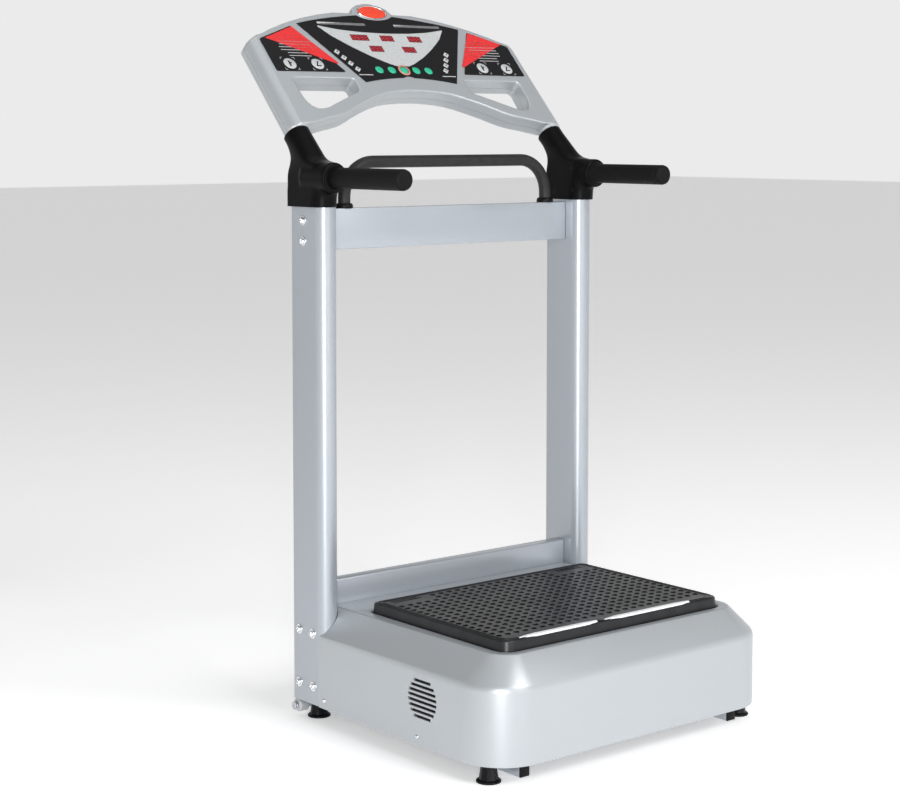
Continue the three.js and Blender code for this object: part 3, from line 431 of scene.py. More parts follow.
def mat_outline(corners, low, high):
    """The mat's plan raised from low to high: the front corners rounder than the rear ones."""
    bm = bmesh.new()
    verts = [bm.verts.new((x, y, low)) for x, y in corners]
    bm.faces.new(verts)
    for pair, radius in ((verts[:2], 0.028), (verts[2:], 0.012)):
        bmesh.ops.bevel(bm, geom=pair, offset=radius * 0.75, offset_type="OFFSET", segments=8,
                        affect="VERTICES", profile=0.5, material=-1)
    grown = bmesh.ops.extrude_face_region(bm, geom=list(bm.faces))
    top = [v for v in grown["geom"] if isinstance(v, bmesh.types.BMVert)]
    bmesh.ops.translate(bm, verts=top, vec=(0, 0, high - low))
    bmesh.ops.recalc_face_normals(bm, faces=bm.faces)
    return bm


def circle_plug(radius, z0, z1, segments):
    bm = bmesh.new()
    bmesh.ops.create_cone(bm, cap_ends=True, segments=segments, radius1=radius * 0.9, radius2=radius,
                          depth=z1 - z0)
    bmesh.ops.translate(bm, verts=bm.verts, vec=(0, 0, (z0 + z1) / 2))
    return bm


def box_between(low, high):
    bm = bmesh.new()
    bmesh.ops.create_cube(bm, size=1)
    size = [b - a for a, b in zip(low, high)]
    bmesh.ops.scale(bm, verts=bm.verts, vec=size)
    bmesh.ops.translate(bm, verts=bm.verts, vec=[(a + b) / 2 for a, b in zip(low, high)])
    return bm


def vent_shade_backing():
    """A dark pad close behind each round side vent: painted shade for the dark inside of the base seen
    through the slots.
    """
    for name, side in SIDES:
        pad = [(0, 0.004), (0.036, 0.004), (0.038, 0.002), (0.038, 0), (0, 0)]
        bm = turned(pad, 40)
        bmesh.ops.transform(bm, matrix=toward((side, 0, 0), (side * 0.3125, -0.2052, 0.108)), verts=bm.verts)
        piece(f"{name}_vent_shade_pad", bm, BLACK_CAP, "frame")


def feet():
    for row in ("front", "rear"):
        for name, _ in SIDES:
            node = f"{row}_{name}_foot"
            dressed(node, FOOT_RUBBER, node, 0.0007, 25, 2, 30)


def wheels():
    for name, side in SIDES:
        low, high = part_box(f"{name}_wheel")
        middle = (low + high) / 2
        width = (high.x - low.x) / 2
        radius = (high.z - low.z) / 2
        tyre = [(0.0044, -width), (radius * 0.72, -width), (radius * 0.78, -width + 0.0012),
                (radius - 0.0015, -width + 0.0012), (radius, -width + 0.003), (radius, width - 0.003),
                (radius - 0.0015, width - 0.0012), (radius * 0.78, width - 0.0012),
                (radius * 0.72, width), (0.0044, width), (0.0044, -width)]
        bm = turned(tyre, 48)
        bmesh.ops.transform(bm, matrix=toward((side, 0, 0), middle), verts=bm.verts)
        piece(f"{name}_wheel_roller", bm, WHEEL_GREY, f"{name}_wheel", f"{name}_wheel")
        head = bolt_head(0.0062, 0.0042, 0.0078)
        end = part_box("rear_cross_tube")[1].x
        bmesh.ops.transform(head, matrix=toward((side, 0, 0), (side * (end - 0.0038), middle.y, middle.z)),
                            verts=head.verts)
        piece(f"{name}_wheel_bolt", head, CHROME, "frame")


def rails():
    for name, _ in SIDES:
        dressed(f"{name}_rail", SILVER, "frame", 0.0012, 40)
        dressed(f"{name}_rail_cap", BLACK_CAP, "frame", 0.0008, 40)
    dressed("front_cross_tube", SILVER, "frame", 0.0009, 60)
    dressed("rear_cross_tube", SILVER, "frame", 0.0007, 60)
    dressed("drive_frame", PRIMER, "frame", 0.0007, 60)


# ---- posts and beams -------------------------------------------------------------------------
def post(name, side):
    """Drawn post: flat back and sides, half-round nose, open at the top."""
    low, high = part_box(f"{name}_post")
    wide = (high.x - low.x) / 2
    centre = side * POST_X
    bm = bmesh.new()
    arc_start = bm.verts.new((centre - wide, REAR_Y - 0.0683, low.z))
    spun = bmesh.ops.spin(bm, geom=[arc_start], cent=(centre, REAR_Y - 0.0683, low.z), axis=(0, 0, 1),
                          angle=math.pi, steps=28)
    arc_end = next(v for v in spun["geom_last"] if isinstance(v, bmesh.types.BMVert))
    rear_right = bm.verts.new((centre + wide, REAR_Y, low.z))
    rear_left = bm.verts.new((centre - wide, REAR_Y, low.z))
    for pair in ((arc_end, rear_right), (rear_right, rear_left), (rear_left, arc_start)):
        bm.edges.new(pair)
    bmesh.ops.bevel(bm, geom=[rear_right, rear_left], offset=0.003, segments=4, affect="VERTICES",
                    profile=0.5, material=-1)
    grown = bmesh.ops.extrude_edge_only(bm, edges=list(bm.edges))
    top = [v for v in grown["geom"] if isinstance(v, bmesh.types.BMVert)]
    bmesh.ops.translate(bm, verts=top, vec=(0, 0, high.z - low.z))
    bmesh.ops.recalc_face_normals(bm, faces=bm.faces)
    made = piece(f"{name}_post_tube", bm, SILVER, "frame", f"{name}_post", 40)
    thick = made.modifiers.new("wall", "SOLIDIFY")
    thick.thickness = 0.002
    thick.offset = -1
    thick.use_rim = True
    applied(made)
    shade(made, 40)

    outer_x = 0.32
    heads = [(-0.035, 0.876), (-0.035, 0.8405), (-0.019, 0.1575), (-0.0585, 0.1565), (-0.018, 0.063),
             (-0.0595, 0.063)]
    for i, (y, z) in enumerate(heads):
        bolt = bolt_head(0.0062, 0.0052, 0.0085)
        place = toward((side, 0, 0), (side * outer_x, REAR_Y + y, z))
        bmesh.ops.transform(bolt, matrix=place, verts=bolt.verts)
        piece(f"{name}_post_bolt_{i + 1}", bolt, CHROME, "frame")
    for i, (y, z) in enumerate([(-0.350, 0.0435), (-0.092, 0.0447)]):
        screw = bolt_head(0.0032, 0.0022, 0.0036)
        place = toward((side, 0, 0), (side * outer_x, REAR_Y + y, z))
        bmesh.ops.transform(screw, matrix=place, verts=screw.verts)
        piece(f"{name}_cover_screw_{i + 1}", screw, CHROME, "frame")


def beams():
    for node in ("top_beam", "rear_beam"):
        dressed(node, SILVER, "frame", 0.0018, 60, 3)


def handrail():
    low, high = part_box("handrail")
    radius = 0.011
    bend = 0.062
    reach = high.x - radius
    y = (low.y + high.y) / 2
    bend_z = high.z - radius - bend
    bm = bmesh.new()
    ring = bmesh.ops.create_circle(bm, cap_ends=False, segments=32, radius=radius)["verts"]
    bmesh.ops.translate(bm, verts=ring, vec=(-reach, y, low.z))
    end = list(bm.edges)

    def run(edges, vec):
        grown = bmesh.ops.extrude_edge_only(bm, edges=edges)["geom"]
        bmesh.ops.translate(bm, verts=[g for g in grown if isinstance(g, bmesh.types.BMVert)], vec=vec)
        return [g for g in grown if isinstance(g, bmesh.types.BMEdge)]

    def turn(edges, cent):
        verts = list({v for e in edges for v in e.verts})
        spun = bmesh.ops.spin(bm, geom=verts + edges, cent=cent, axis=(0, 1, 0), angle=math.pi / 2, steps=16)
        return [g for g in spun["geom_last"] if isinstance(g, bmesh.types.BMEdge)]

    end = run(end, (0, 0, bend_z - low.z))
    end = turn(end, (-reach + bend, y, bend_z))
    end = run(end, (2 * (reach - bend), 0, 0))
    end = turn(end, (reach - bend, y, bend_z))
    end = run(end, (0, 0, low.z - bend_z))
    bmesh.ops.holes_fill(bm, edges=[e for e in bm.edges if e.is_boundary], sides=0)
    bmesh.ops.recalc_face_normals(bm, faces=bm.faces)
    piece("handrail_tube", bm, BLACK_PAINT, "frame", "handrail", 50)
    for name, side in SIDES:
        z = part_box(f"{name}_handrail_collar")[0].z
        rim = [(0.0116, 0), (0.0155, 0), (0.0158, 0.001), (0.0156, 0.0045), (0.0146, 0.0068),
               (0.0128, 0.0082), (0.0116, 0.0085), (0.0116, 0)]
        bm = turned(rim, 40)
        bmesh.ops.translate(bm, verts=bm.verts, vec=(side * reach, y, z))
        piece(f"{name}_handrail_ring", bm, BLACK_CAP, "frame", f"{name}_handrail_collar")


# ---- grips and brackets ----------------------------------------------------------------------
def grip(name, side):
    low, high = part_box(f"{name}_grip")
    x, z = (low.x + high.x) / 2, (low.z + high.z) / 2
    length = high.y - low.y
    r = (high.z - low.z) / 2
    rings = [(0.0144, 0.0036), (0.0144, length), (r, length), (r, 0.0125), (r - 0.0006, 0.0118),
             (r - 0.0006, 0.0108), (r, 0.0101), (r + 0.0001, 0.006), (r - 0.0009, 0.0022),
             (r - 0.0032, 0.0004), (r - 0.0045, 0.0), (r - 0.0052, 0.0007), (r - 0.009, 0.0010),
             (0, 0.0010), (0, 0.0030), (0.0144, 0.0030), (0.0144, 0.0036)]
    bm = turned(rings, 64)
    bmesh.ops.transform(bm, matrix=toward((0, 1, 0), (x, low.y, z)), verts=bm.verts)
    piece(f"{name}_grip_sleeve", bm, FOAM, "frame", f"{name}_grip", 40)


# Side profile of a bracket from the post up to the console's side edge, ring by ring:
# front y and z, rear y and z, half width, and how square the rear corners are (metres).
BRACKET_RINGS = (
    (0.0661, 0.880, 0.1622, 0.880, 0.0248, 1.0), (0.0661, 0.900, 0.1622, 0.900, 0.0248, 1.0),
    (0.0648, 0.918, 0.1622, 0.914, 0.0248, 1.0), (0.0598, 0.934, 0.1620, 0.930, 0.0249, 1.0),
    (0.0568, 0.950, 0.1618, 0.944, 0.0249, 1.0), (0.0578, 0.966, 0.1618, 0.955, 0.0248, 1.0),
    (0.0668, 0.977, 0.1620, 0.962, 0.0246, 0.95), (0.0783, 0.9785, 0.1628, 0.968, 0.0244, 0.85),
    (0.0905, 0.9805, 0.1650, 0.975, 0.0242, 0.70), (0.1023, 0.9870, 0.1682, 0.982, 0.0241, 0.50),
    (0.1128, 0.9970, 0.1725, 0.9895, 0.0240, 0.35), (0.1288, 1.0130, 0.1785, 0.9983, 0.0240, 0.20),
    (0.1432, 1.0270, 0.1845, 1.0050, 0.0242, 0.08), (0.1568, 1.0415, 0.1910, 1.0095, 0.0244, 0.0),
    (0.1714, 1.0573, 0.2056, 1.0253, 0.0244, 0.0),
)


def bracket_form(side):
    """Skin of the bracket swept through its rings, with the grip sleeve standing out of it."""
    bm = bmesh.new()
    loops = []
    for front_y, front_z, rear_y, rear_z, half, square in BRACKET_RINGS:
        x = side * (ARM_X + square * 0.0050)
        front = Vector((x, front_y, front_z))
        rearward = Vector((x, rear_y, rear_z)) - front
        length = rearward.length
        rearward.normalize()
        ring = bmesh.ops.create_circle(bm, cap_ends=False, segments=48, radius=1)["verts"]
        for v in ring:
            across, along = v.co.x, v.co.y
            reach = 1 if along < 0 else 1 - square + square * max(abs(across), along)
            depth = half if along < 0 else length - half
            v.co = front + rearward * (half + depth * along / reach) + Vector((half * across / reach, 0, 0))
        loops.append(list({e for v in ring for e in v.link_edges}))
    for lower, upper in zip(loops, loops[1:]):
        bmesh.ops.bridge_loops(bm, edges=lower + upper)
    for end in (loops[0], loops[-1]):
        bmesh.ops.holes_fill(bm, edges=end, sides=0)
    bmesh.ops.recalc_face_normals(bm, faces=bm.faces)
    sleeve = bmesh.new()
    bmesh.ops.create_cone(sleeve, cap_ends=True, segments=48, radius1=0.0270, radius2=0.0270, depth=0.072)
    return gather([(bm, Matrix.Identity(4)), (sleeve, toward((0, 1, 0), (side * GRIP_X, 0.0840, GRIP_Z)))])


def flowed(name, bm, voxel, passes):
    """One soft skin over overlapping forms, their meeting lines turned to fillets."""
    form = bpy.data.objects.new(name, bpy.data.meshes.new(name))
    bm.to_mesh(form.data)
    bm.free()
    bpy.context.scene.collection.objects.link(form)
    remesh = form.modifiers.new("flow", "REMESH")
    remesh.mode = "VOXEL"
    remesh.voxel_size = voxel
    applied(form)
    soft = bmesh.new()
    soft.from_mesh(form.data)
    bpy.data.objects.remove(form)
    for _ in range(passes):
        bmesh.ops.smooth_vert(soft, verts=soft.verts, factor=0.5, use_axis_x=True, use_axis_y=True,
                              use_axis_z=True)
    return soft


def trimmed(bm, point, outward):
    """Cuts away all that lies outward of a plane and caps the cut."""
    cut = bmesh.ops.bisect_plane(bm, geom=list(bm.verts) + list(bm.edges) + list(bm.faces),
                                 plane_co=point, plane_no=outward, clear_outer=True)
    rim = [g for g in cut["geom_cut"] if isinstance(g, bmesh.types.BMEdge)]
    bmesh.ops.triangle_fill(bm, use_beauty=True, edges=rim)
    return bm


def bracket(name, side):
    """The two moulded shell halves around the post top, the grip's root and the console arm."""
    skin = flowed("bracket", bracket_form(side), 0.0015, 22)
    trimmed(skin, (0, 0, 0.900), (0, 0, -1))
    trimmed(skin, PANEL @ Vector((0, -0.1003, 0)), (0, math.sin(TILT), math.cos(TILT)))
    for half, seam, outward in (("outer", 0.2933, -1), ("inner", 0.2930, 1)):
        shell = trimmed(skin.copy(), (side * seam, 0, 0), (side * outward, 0, 0))
        bmesh.ops.recalc_face_normals(shell, faces=shell.faces)
        node = f"{name}_bracket_{half}"
        piece(f"{node}_shell", shell, BLACK_SHELL, "frame", node, 50)
    skin.free()
    x = side * GRIP_X
    lip = turned([(0.0184, 0.0), (0.0184, -0.0008), (0.0196, -0.0014), (0.0212, -0.0012), (0.0219, -0.0004),
                  (0.0219, 0.0), (0.0184, 0.0)], 56)
    bmesh.ops.transform(lip, matrix=toward((0, 1, 0), (x, 0.0482, GRIP_Z)), verts=lip.verts)
    piece(f"{name}_grip_lip", lip, BLACK_CAP, "frame")
    for i, (y, z) in enumerate(((0.1370, 0.9150), (0.0870, 0.9180), (0.0905, 0.9600), (0.1640, 1.0080))):
        rim = turned([(0.0018, 0.0004), (0.0034, 0.0006), (0.0040, 0.0), (0.0018, -0.003),
                      (0.0018, 0.0004)], 20)
        pin = turned([(0, -0.0022), (0.0019, -0.0022), (0.0019, -0.004), (0, -0.004)], 16)
        depth = 0.0275 if i < 3 else 0.0160
        for part, bm, finish in (("rim", rim, BLACK_CAP), ("screw", pin, STEEL)):
            bmesh.ops.transform(bm, matrix=toward((-side, 0, 0), (x - side * depth, y, z)), verts=bm.verts)
            piece(f"{name}_bracket_{part}_{i + 1}", bm, finish, "frame")


def arms():
    for name, side in SIDES:
        bracket(name, side)
        grip(name, side)
        dressed(f"{name}_arm_frame", PRIMER, "frame", 0.0006, 50)


# ---- console ---------------------------------------------------------------------------------
def on_panel(bm, depth=0.0):
    bmesh.ops.transform(bm, matrix=PANEL @ Matrix.Translation((0, 0, depth)), verts=bm.verts)
    return bm


def console_form():
    """The whole moulding: face plate with its openings and the two round side edges, softly blended."""
    plate = copy_of("console_front")
    bmesh.ops.transform(plate, matrix=PANEL.inverted(), verts=plate.verts)
    rest = [f for f in plate.faces
            if f.normal.z < 0.999 or any(abs(v.co.z) > 1e-4 for v in f.verts)]
    bmesh.ops.delete(plate, geom=rest, context="FACES")
    grown = bmesh.ops.extrude_face_region(plate, geom=list(plate.faces))
    back = [v for v in grown["geom"] if isinstance(v, bmesh.types.BMVert)]
    bmesh.ops.translate(plate, verts=back, vec=(0, 0, -0.0365))
    bmesh.ops.scale(plate, verts=plate.verts, vec=(1.002, 1.016, 1))
    bmesh.ops.recalc_face_normals(plate, faces=plate.faces)
    keypad = box_between((-0.140, 0.022, -0.0365), (0.140, 0.135, 0))
    edges = [(keypad, Matrix.Identity(4))]
    for _, side in SIDES:
        tube = bmesh.new()
        bmesh.ops.create_cone(tube, cap_ends=True, segments=48, radius1=0.0225, radius2=0.0225, depth=0.240)
        bmesh.ops.rotate(tube, verts=tube.verts, cent=(0, 0, 0), matrix=Matrix.Rotation(math.pi / 2, 3, "X"))
        bmesh.ops.translate(tube, verts=tube.verts, vec=(side * ARM_X, 0.020, -0.0234))
        for point, outward in (((side * 0.3205, 0.099, 0), (side * 1.88, 1, 0)),
                               ((side * 0.300, 0.1165, 0), (side * 0.565, 1, 0))):
            sliced = bmesh.ops.bisect_plane(tube, geom=list(tube.verts) + list(tube.edges) + list(tube.faces),
                                            plane_co=point, plane_no=outward, clear_outer=True)
            rim = [g for g in sliced["geom_cut"] if isinstance(g, bmesh.types.BMEdge)]
            bmesh.ops.holes_fill(tube, edges=rim, sides=0)
        edges.append((tube, Matrix.Identity(4)))
    return gather([(plate, Matrix.Identity(4))] + edges)


def console_shells():
    """Front and back shells, cut from the one form along the seam."""
    skin = flowed("console", console_form(), 0.0018, 7)
    for name, seam, outward in (("front", -0.0200, -1), ("back", -0.0205, 1)):
        half = trimmed(skin.copy(), (0, 0, seam), (0, 0, outward))
        bmesh.ops.recalc_face_normals(half, faces=half.faces)
        made = piece(f"console_{name}_shell", on_panel(half), SILVER_SHELL, "frame",
                     f"console_{name}", 50)
        if name == "front":
            key_wells(made)
    skin.free()
    screws = ((-0.285, 0.070), (-0.150, 0.140), (0.150, 0.140), (0.285, 0.070), (-0.115, 0.010),
              (0.115, 0.010), (-0.250, -0.075), (0.250, -0.075))
    for i, (x, y) in enumerate(screws):
        screw = bolt_head(0.0034, 0.0022, 0.0042)
        bmesh.ops.transform(screw, matrix=toward((0, 0, -1), (x, y, -0.0363)), verts=screw.verts)
        piece(f"console_screw_{i + 1}", on_panel(screw), STEEL, "frame")


MAIN_KEYS = [((i - 2) * 0.029 - 0.0025, 0.0363) for i in range(5)]
QUICK_KEYS = {
    "left": [(-0.1104 - 0.0086 * i, 0.0362 + 0.0144 * i) for i in range(4)],
    "right": [(0.0978 + 0.0080 * i, 0.0371 + 0.0142 * i) for i in range(4)],
}


def diamond(x, y, half):
    return [(x, y - half), (x + half, y), (x, y + half), (x - half, y)]


def bar(x, y, half, tall):
    """A level strip, half its length either side of x, standing on y."""
    return [(x - half, y), (x + half, y), (x + half, y + tall), (x - half, y + tall)]


def key_wells(shell):
    """Sinks a well for every key and display into the face."""
    wells = [(circle_plug(0.0096, -0.0085, 0.004, 24), Matrix.Translation((x, y, 0))) for x, y in MAIN_KEYS]
    for name, _ in SIDES:
        for x, y in QUICK_KEYS[name]:
            wells.append((slab(diamond(x, y, 0.0073), -0.0085, 0.004), Matrix.Identity(4)))
    for x, y, width, _ in DISPLAYS:
        half = width / 2 + 0.001
        wells.append((box_between((x - half, y - 0.0095, -0.0135), (x + half, y + 0.0095, 0.004)),
                      Matrix.Identity(4)))
    tool = bpy.data.objects.new("cutter", bpy.data.meshes.new("cutter"))
    bm = on_panel(gather(wells))
    bm.to_mesh(tool.data)
    bm.free()
    bpy.context.scene.collection.objects.link(tool)
    carve = shell.modifiers.new("wells", "BOOLEAN")
    carve.operation = "DIFFERENCE"
    carve.solver = "EXACT"
    carve.object = tool
    applied(shell)
    bpy.data.objects.remove(tool)
    shade(shell, 50)


DISPLAYS = ((-0.064, 0.119, 0.042, 4), (0.0, 0.119, 0.032, 3), (0.066, 0.119, 0.033, 3),
            (-0.0387, 0.0906, 0.032, 3), (0.0387, 0.0906, 0.032, 3))


MARKS = ((-0.256, 0.0465), (-0.195, 0.047), (0.195, 0.047), (0.256, 0.0465))


def console_graphics():
    """Printed areas, as thin films on the labels."""
    film = 0.0011
    piece("centre_film", copy_of("centre_label"), FILM_BLACK, "frame", "centre_label", 20)
    shield = [(-0.150, 0.1475), (-0.128, 0.121), (-0.095, 0.094), (-0.062, 0.071), (-0.030, 0.053),
              (-0.012, 0.0455), (0.0, 0.0495), (0.012, 0.0455), (0.030, 0.053), (0.062, 0.071),
              (0.095, 0.094), (0.128, 0.121), (0.150, 0.1475), (0.105, 0.1385), (0.055, 0.1335),
              (0.0, 0.132), (-0.055, 0.1335), (-0.105, 0.1385)]
    bm = slab(shield, 0, 0.0002, 0.004, 3)
    piece("shield_film", on_panel(bm, film), FILM_SILVER, "frame")
    bars = [(slab([(a, 0.151), (b, 0.151), (b, 0.157), (a, 0.157)], 0, 0.0006, 0.001, 3, 0.0002),
             Matrix.Identity(4)) for a, b in ((-0.145, -0.034), (0.034, 0.145))]
    piece("silver_bars", on_panel(gather(bars), film), CHROME, "frame")

    for name, _ in SIDES:
        node = f"{name}_label"
        piece(f"{name}_film", copy_of(node), FILM_BLACK, "frame", node, 20)
    left_red = [(-0.280, 0.1105), (-0.150, 0.0485), (-0.146, 0.051), (-0.208, 0.1420)]
    right_red = [(0.210, 0.1425), (0.146, 0.050), (0.150, 0.0485), (0.280, 0.1135)]
    red = gather([(slab(left_red, 0, 0.0002, 0.001, 2), Matrix.Identity(4)),
                  (slab(list(reversed(right_red)), 0, 0.0002, 0.001, 2), Matrix.Identity(4))])
    piece("red_corner_films", on_panel(red, film), FILM_RED, "frame")
    lines = []
    for side in (-1, 1):
        for i in range(8):
            y = 0.1165 - 0.0072 * i
            middle = side * (0.217 + (0.006 if i % 2 else 0.0))
            half = (0.013, 0.031, 0.040, 0.034, 0.043, 0.036, 0.030, 0.024)[i]
            lines.append((slab(bar(middle, y, half, 0.0014), 0, 0.0002), Matrix.Identity(4)))
    for x, y, half in ((-0.064, 0.1055, 0.014), (0, 0.1055, 0.013), (0.066, 0.1055, 0.012),
                       (-0.0387, 0.0775, 0.013), (0.0387, 0.0775, 0.012)):
        lines.append((slab(bar(x, y, half, 0.0012), 0.0002, 0.0004), Matrix.Identity(4)))
    for side in (-1, 1):
        lines.append((slab(bar(side * 0.098, 0.0215, 0.016, 0.0020), 0, 0.0002), Matrix.Identity(4)))
    piece("printed_lines", on_panel(gather(lines), film), FILM_WHITE, "frame")
    marks = []
    for x, y in MARKS:
        disc = turned([(0, 0.0004), (0.0125, 0.0004), (0.0128, 0.0002), (0.0128, 0), (0, 0)], 32)
        marks.append((disc, Matrix.Translation((x, y, 0))))
        for sx in (-1, 1):
            for sy in (-1, 1):
                angle = ((0.0155, 0.0155), (0.0105, 0.0155), (0.0105, 0.0147), (0.0147, 0.0147),
                         (0.0147, 0.0105), (0.0155, 0.0105))
                mark = slab([(sx * a, sy * b) for a, b in angle], 0, 0.0002)
                marks.append((mark, Matrix.Translation((x, y, 0))))
    piece("round_marks", on_panel(gather(marks), film), FILM_SILVER, "frame")
    signs = []
    for i, (x, y) in enumerate(MARKS):
        if i % 2:
            bent = [(-0.005, -0.006), (0.006, -0.006), (0.006, -0.0035), (-0.001, -0.0035), (0.004, 0.006),
                    (0.0012, 0.007)]
        else:
            bent = [(-0.0022, -0.007), (0.0012, -0.007), (0.0012, -0.001), (0.0052, 0.0015), (0.0040, 0.0038),
                    (0.0010, 0.0022), (0.0010, 0.007), (-0.0022, 0.007)]
        signs.append((slab(bent, 0.0004, 0.0006, 0.0006, 2), Matrix.Translation((x, y, 0))))
    piece("round_mark_signs", on_panel(gather(signs), film), FILM_BLACK, "frame")


def displays():
    nodes["display_board"].data.materials.clear()
    nodes["display_board"].data.materials.append(BOARD)
    panes = []
    digits = []
    for x, y, width, count in DISPLAYS:
        half = width / 2 - 0.0008
        panes.append((slab([(x - half, y - 0.0077), (x + half, y - 0.0077), (x + half, y + 0.0077),
                            (x - half, y + 0.0077)], -0.0003, 0.0015, 0.0008, 2, 0.0002), Matrix.Identity(4)))
        step = width / (count + 0.3)
        for i in range(count):
            at = x + (i - (count - 1) / 2) * step
            digits += [(stroke, Matrix.Translation((at, y, 0.0015)))
                       for stroke in seven_bars(step * 0.30, 0.0048)]
    piece("display_windows", on_panel(gather(panes)), LED_GLASS, "frame")
    piece("display_digits", on_panel(gather(digits)), LED_RED, "frame")


def seven_bars(half, tall):
    """The seven strokes of one display digit."""
    w = 0.0011
    across = [slab(bar(0, y - w / 2, half, w), 0, 0.00015) for y in (-tall, 0, tall)]
    upright = [slab(bar(x, y0, w / 2, tall - 2 * w), 0, 0.00015)
               for x in (-half - w * 0.2, half + w * 0.2) for y0 in (-tall + w, w)]
    return across + upright


def badge():
    """Plain domed oval in a thin bright rim."""
    low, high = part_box("badge")
    dome = turned([(0, 0.0030), (0.45, 0.0028), (0.78, 0.0021), (0.90, 0.0014), (0.905, 0.0008),
                   (0.905, 0.0001), (0, 0.0001)], 72)
    rim = turned([(0.90, 0.0003), (0.90, 0.0014), (0.93, 0.0022), (0.975, 0.0022), (1.0, 0.0013),
                  (1.0, 0.0003), (0.90, 0.0003)], 72)
    for name, bm, material in (("badge_dome", dome, BADGE_RED), ("badge_rim", rim, CHROME)):
        bmesh.ops.scale(bm, verts=bm.verts, vec=(0.035, 0.0175, 1))
        bmesh.ops.translate(bm, verts=bm.verts, vec=(0, 0.188, 0))
        piece(name, on_panel(bm, 0.0002), material, "frame",
              "badge" if name == "badge_dome" else ())


def keys():
    for i in range(5):
        node = f"main_key_{i + 1}"
        x, y = MAIN_KEYS[i]
        cap = turned([(0, 0.0026), (0.0040, 0.0025), (0.0072, 0.0020), (0.0086, 0.0011), (0.0089, 0.0002),
                      (0.0089, -0.005), (0, -0.005)], 40)
        bmesh.ops.translate(cap, verts=cap.verts, vec=(x, y, 0))
        piece(f"{node}_cap", on_panel(cap), KEY_GREEN, node, node)
        middle = i == 2
        size = 0.0128 if middle else 0.0104
        ring = turned([(0.0095, 0.0011), (0.0095, 0.0017), (size - 0.0004, 0.0016), (size, 0.0013),
                       (size, 0.0011), (0.0095, 0.0011)], 40)
        bmesh.ops.translate(ring, verts=ring.verts, vec=(x, y, 0))
        piece(f"{node}_ring", on_panel(ring), KEY_RING if middle else FILM_BLACK, "frame")
    for name, _ in SIDES:
        for i, (x, y) in enumerate(QUICK_KEYS[name]):
            node = f"{name}_quick_key_{i + 1}"
            cap = slab(diamond(x, y, 0.0068), -0.005, 0.0024, 0.0008, 3, 0.0007)
            piece(f"{node}_cap", on_panel(cap), KEY_SILVER, node, node)
            dot = slab(diamond(x, y, 0.0020), 0.0024, 0.0026)
            piece(f"{node}_sign", on_panel(dot), FILM_BLACK, node)


# ---- drive and power -------------------------------------------------------------------------
def drive():
    dressed("platform_frame", PRIMER, "platform", 0.0008, 60)
    dressed("pivot_shaft", STEEL, "platform", 0.0008, 60)
    dressed("motor", CAST, "frame", 0.0012, 60)
    dressed("motor_pulley", CAST, "motor_rotor", 0.0005, 60)
    dressed("crankshaft", STEEL, "crank", 0.0004, 60)
    dressed("front_connecting_rod", CAST, "front_rod", 0.0006, 60)
    dressed("rear_connecting_rod", CAST, "rear_rod", 0.0006, 60)
    dressed("drive_belt", BELT, "frame", 0.0004, 60)
    dressed("power_inlet", BLACK_CAP, "frame", 0.0006, 60)
    dressed("power_switch", SWITCH_RED, "switch_rocker", 0.0005, 40)


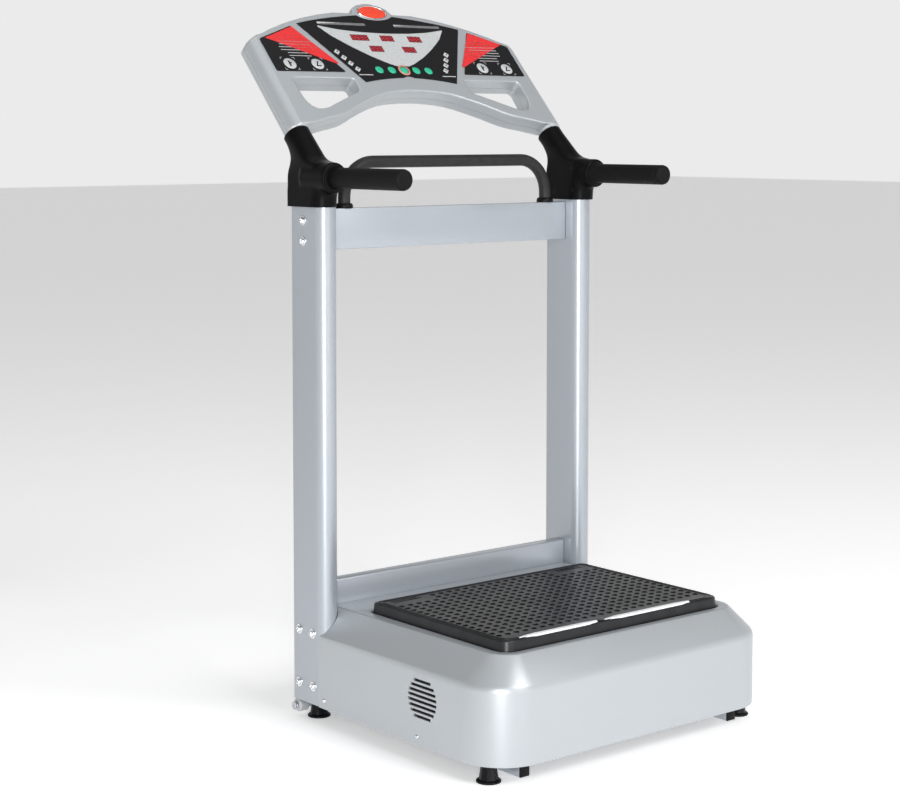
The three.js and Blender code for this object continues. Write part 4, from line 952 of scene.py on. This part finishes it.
# ---- room ------------------------------------------------------------------------------------
def room():
    floor_finish = Finish("pale floor", (0.93, 0.93, 0.93), 0.8, Emission_Strength=0.34)
    floor_finish.shader.inputs["Emission Color"].default_value = (1, 1, 1, 1)
    floor_finish.tint(floor_finish.noise(3, 2), 0.004)
    bm = bmesh.new()
    bmesh.ops.create_grid(bm, x_segments=1, y_segments=1, size=30)
    mesh = bpy.data.meshes.new("floor")
    bm.to_mesh(mesh)
    bm.free()
    mesh.materials.append(floor_finish.material)
    floor = bpy.data.objects.new("floor", mesh)
    bpy.context.scene.collection.objects.link(floor)

    world = bpy.data.worlds.new("studio")
    bpy.context.scene.world = world
    world.use_nodes = True
    tree = world.node_tree
    sky = tree.nodes["Background"]
    sky.inputs["Color"].default_value = (1, 1, 1, 1)
    direction = tree.nodes.new("ShaderNodeSeparateXYZ")
    tree.links.new(tree.nodes.new("ShaderNodeTexCoord").outputs["Generated"], direction.inputs[0])
    height = tree.nodes.new("ShaderNodeMapRange")
    height.interpolation_type = "SMOOTHSTEP"
    for socket, value in (("From Min", 0.16), ("From Max", 0.50), ("To Min", 0.83), ("To Max", 0.24)):
        height.inputs[socket].default_value = value
    tree.links.new(direction.outputs["Z"], height.inputs["Value"])
    tree.links.new(height.outputs[0], sky.inputs["Strength"])

    def lamp(name, at, aim, size, power):
        data = bpy.data.lights.new(name, "AREA")
        data.shape = "RECTANGLE"
        data.size, data.size_y = size
        data.energy = power
        made = bpy.data.objects.new(name, data)
        made.location = at
        made.rotation_euler = (Vector(aim) - Vector(at)).to_track_quat("-Z", "Y").to_euler()
        bpy.context.scene.collection.objects.link(made)

    lamp("key light", (-3.2, -3.7, 1.3), (0, 0, 0.5), (0.9, 2.6), 140)
    lamp("front light", (0.3, -5.8, 1.8), (0, 0, 0.5), (3.0, 2.5), 40)
    lamp("high front light", (0.6, -3.4, 3.6), (0, 0, 0.6), (2.6, 2.0), 100)
    lamp("top light", (0.0, 0.4, 4.2), (0, 0, 0.4), (3.0, 3.0), 15)

    view = bpy.context.scene.view_settings
    view.view_transform = "Standard"
    view.look = "None"
    view.exposure = 0.0


def camera():
    data = bpy.data.cameras.new("camera")
    data.lens = 79.36
    data.sensor_width = 36
    data.shift_x = 0.0036
    data.shift_y = -0.1368
    made = bpy.data.objects.new("camera", data)
    made.location = (-2.293, -2.681, 1.031)
    made.rotation_euler = (math.radians(85.78), 0, math.radians(-39.28))
    bpy.context.scene.collection.objects.link(made)
    bpy.context.scene.camera = made


camera()
room()
base_cover()
tread()
vent_shade_backing()
feet()
wheels()
rails()
for side_name, side_sign in SIDES:
    post(side_name, side_sign)
beams()
handrail()
arms()
console_shells()
console_graphics()
displays()
badge()
keys()
drive()
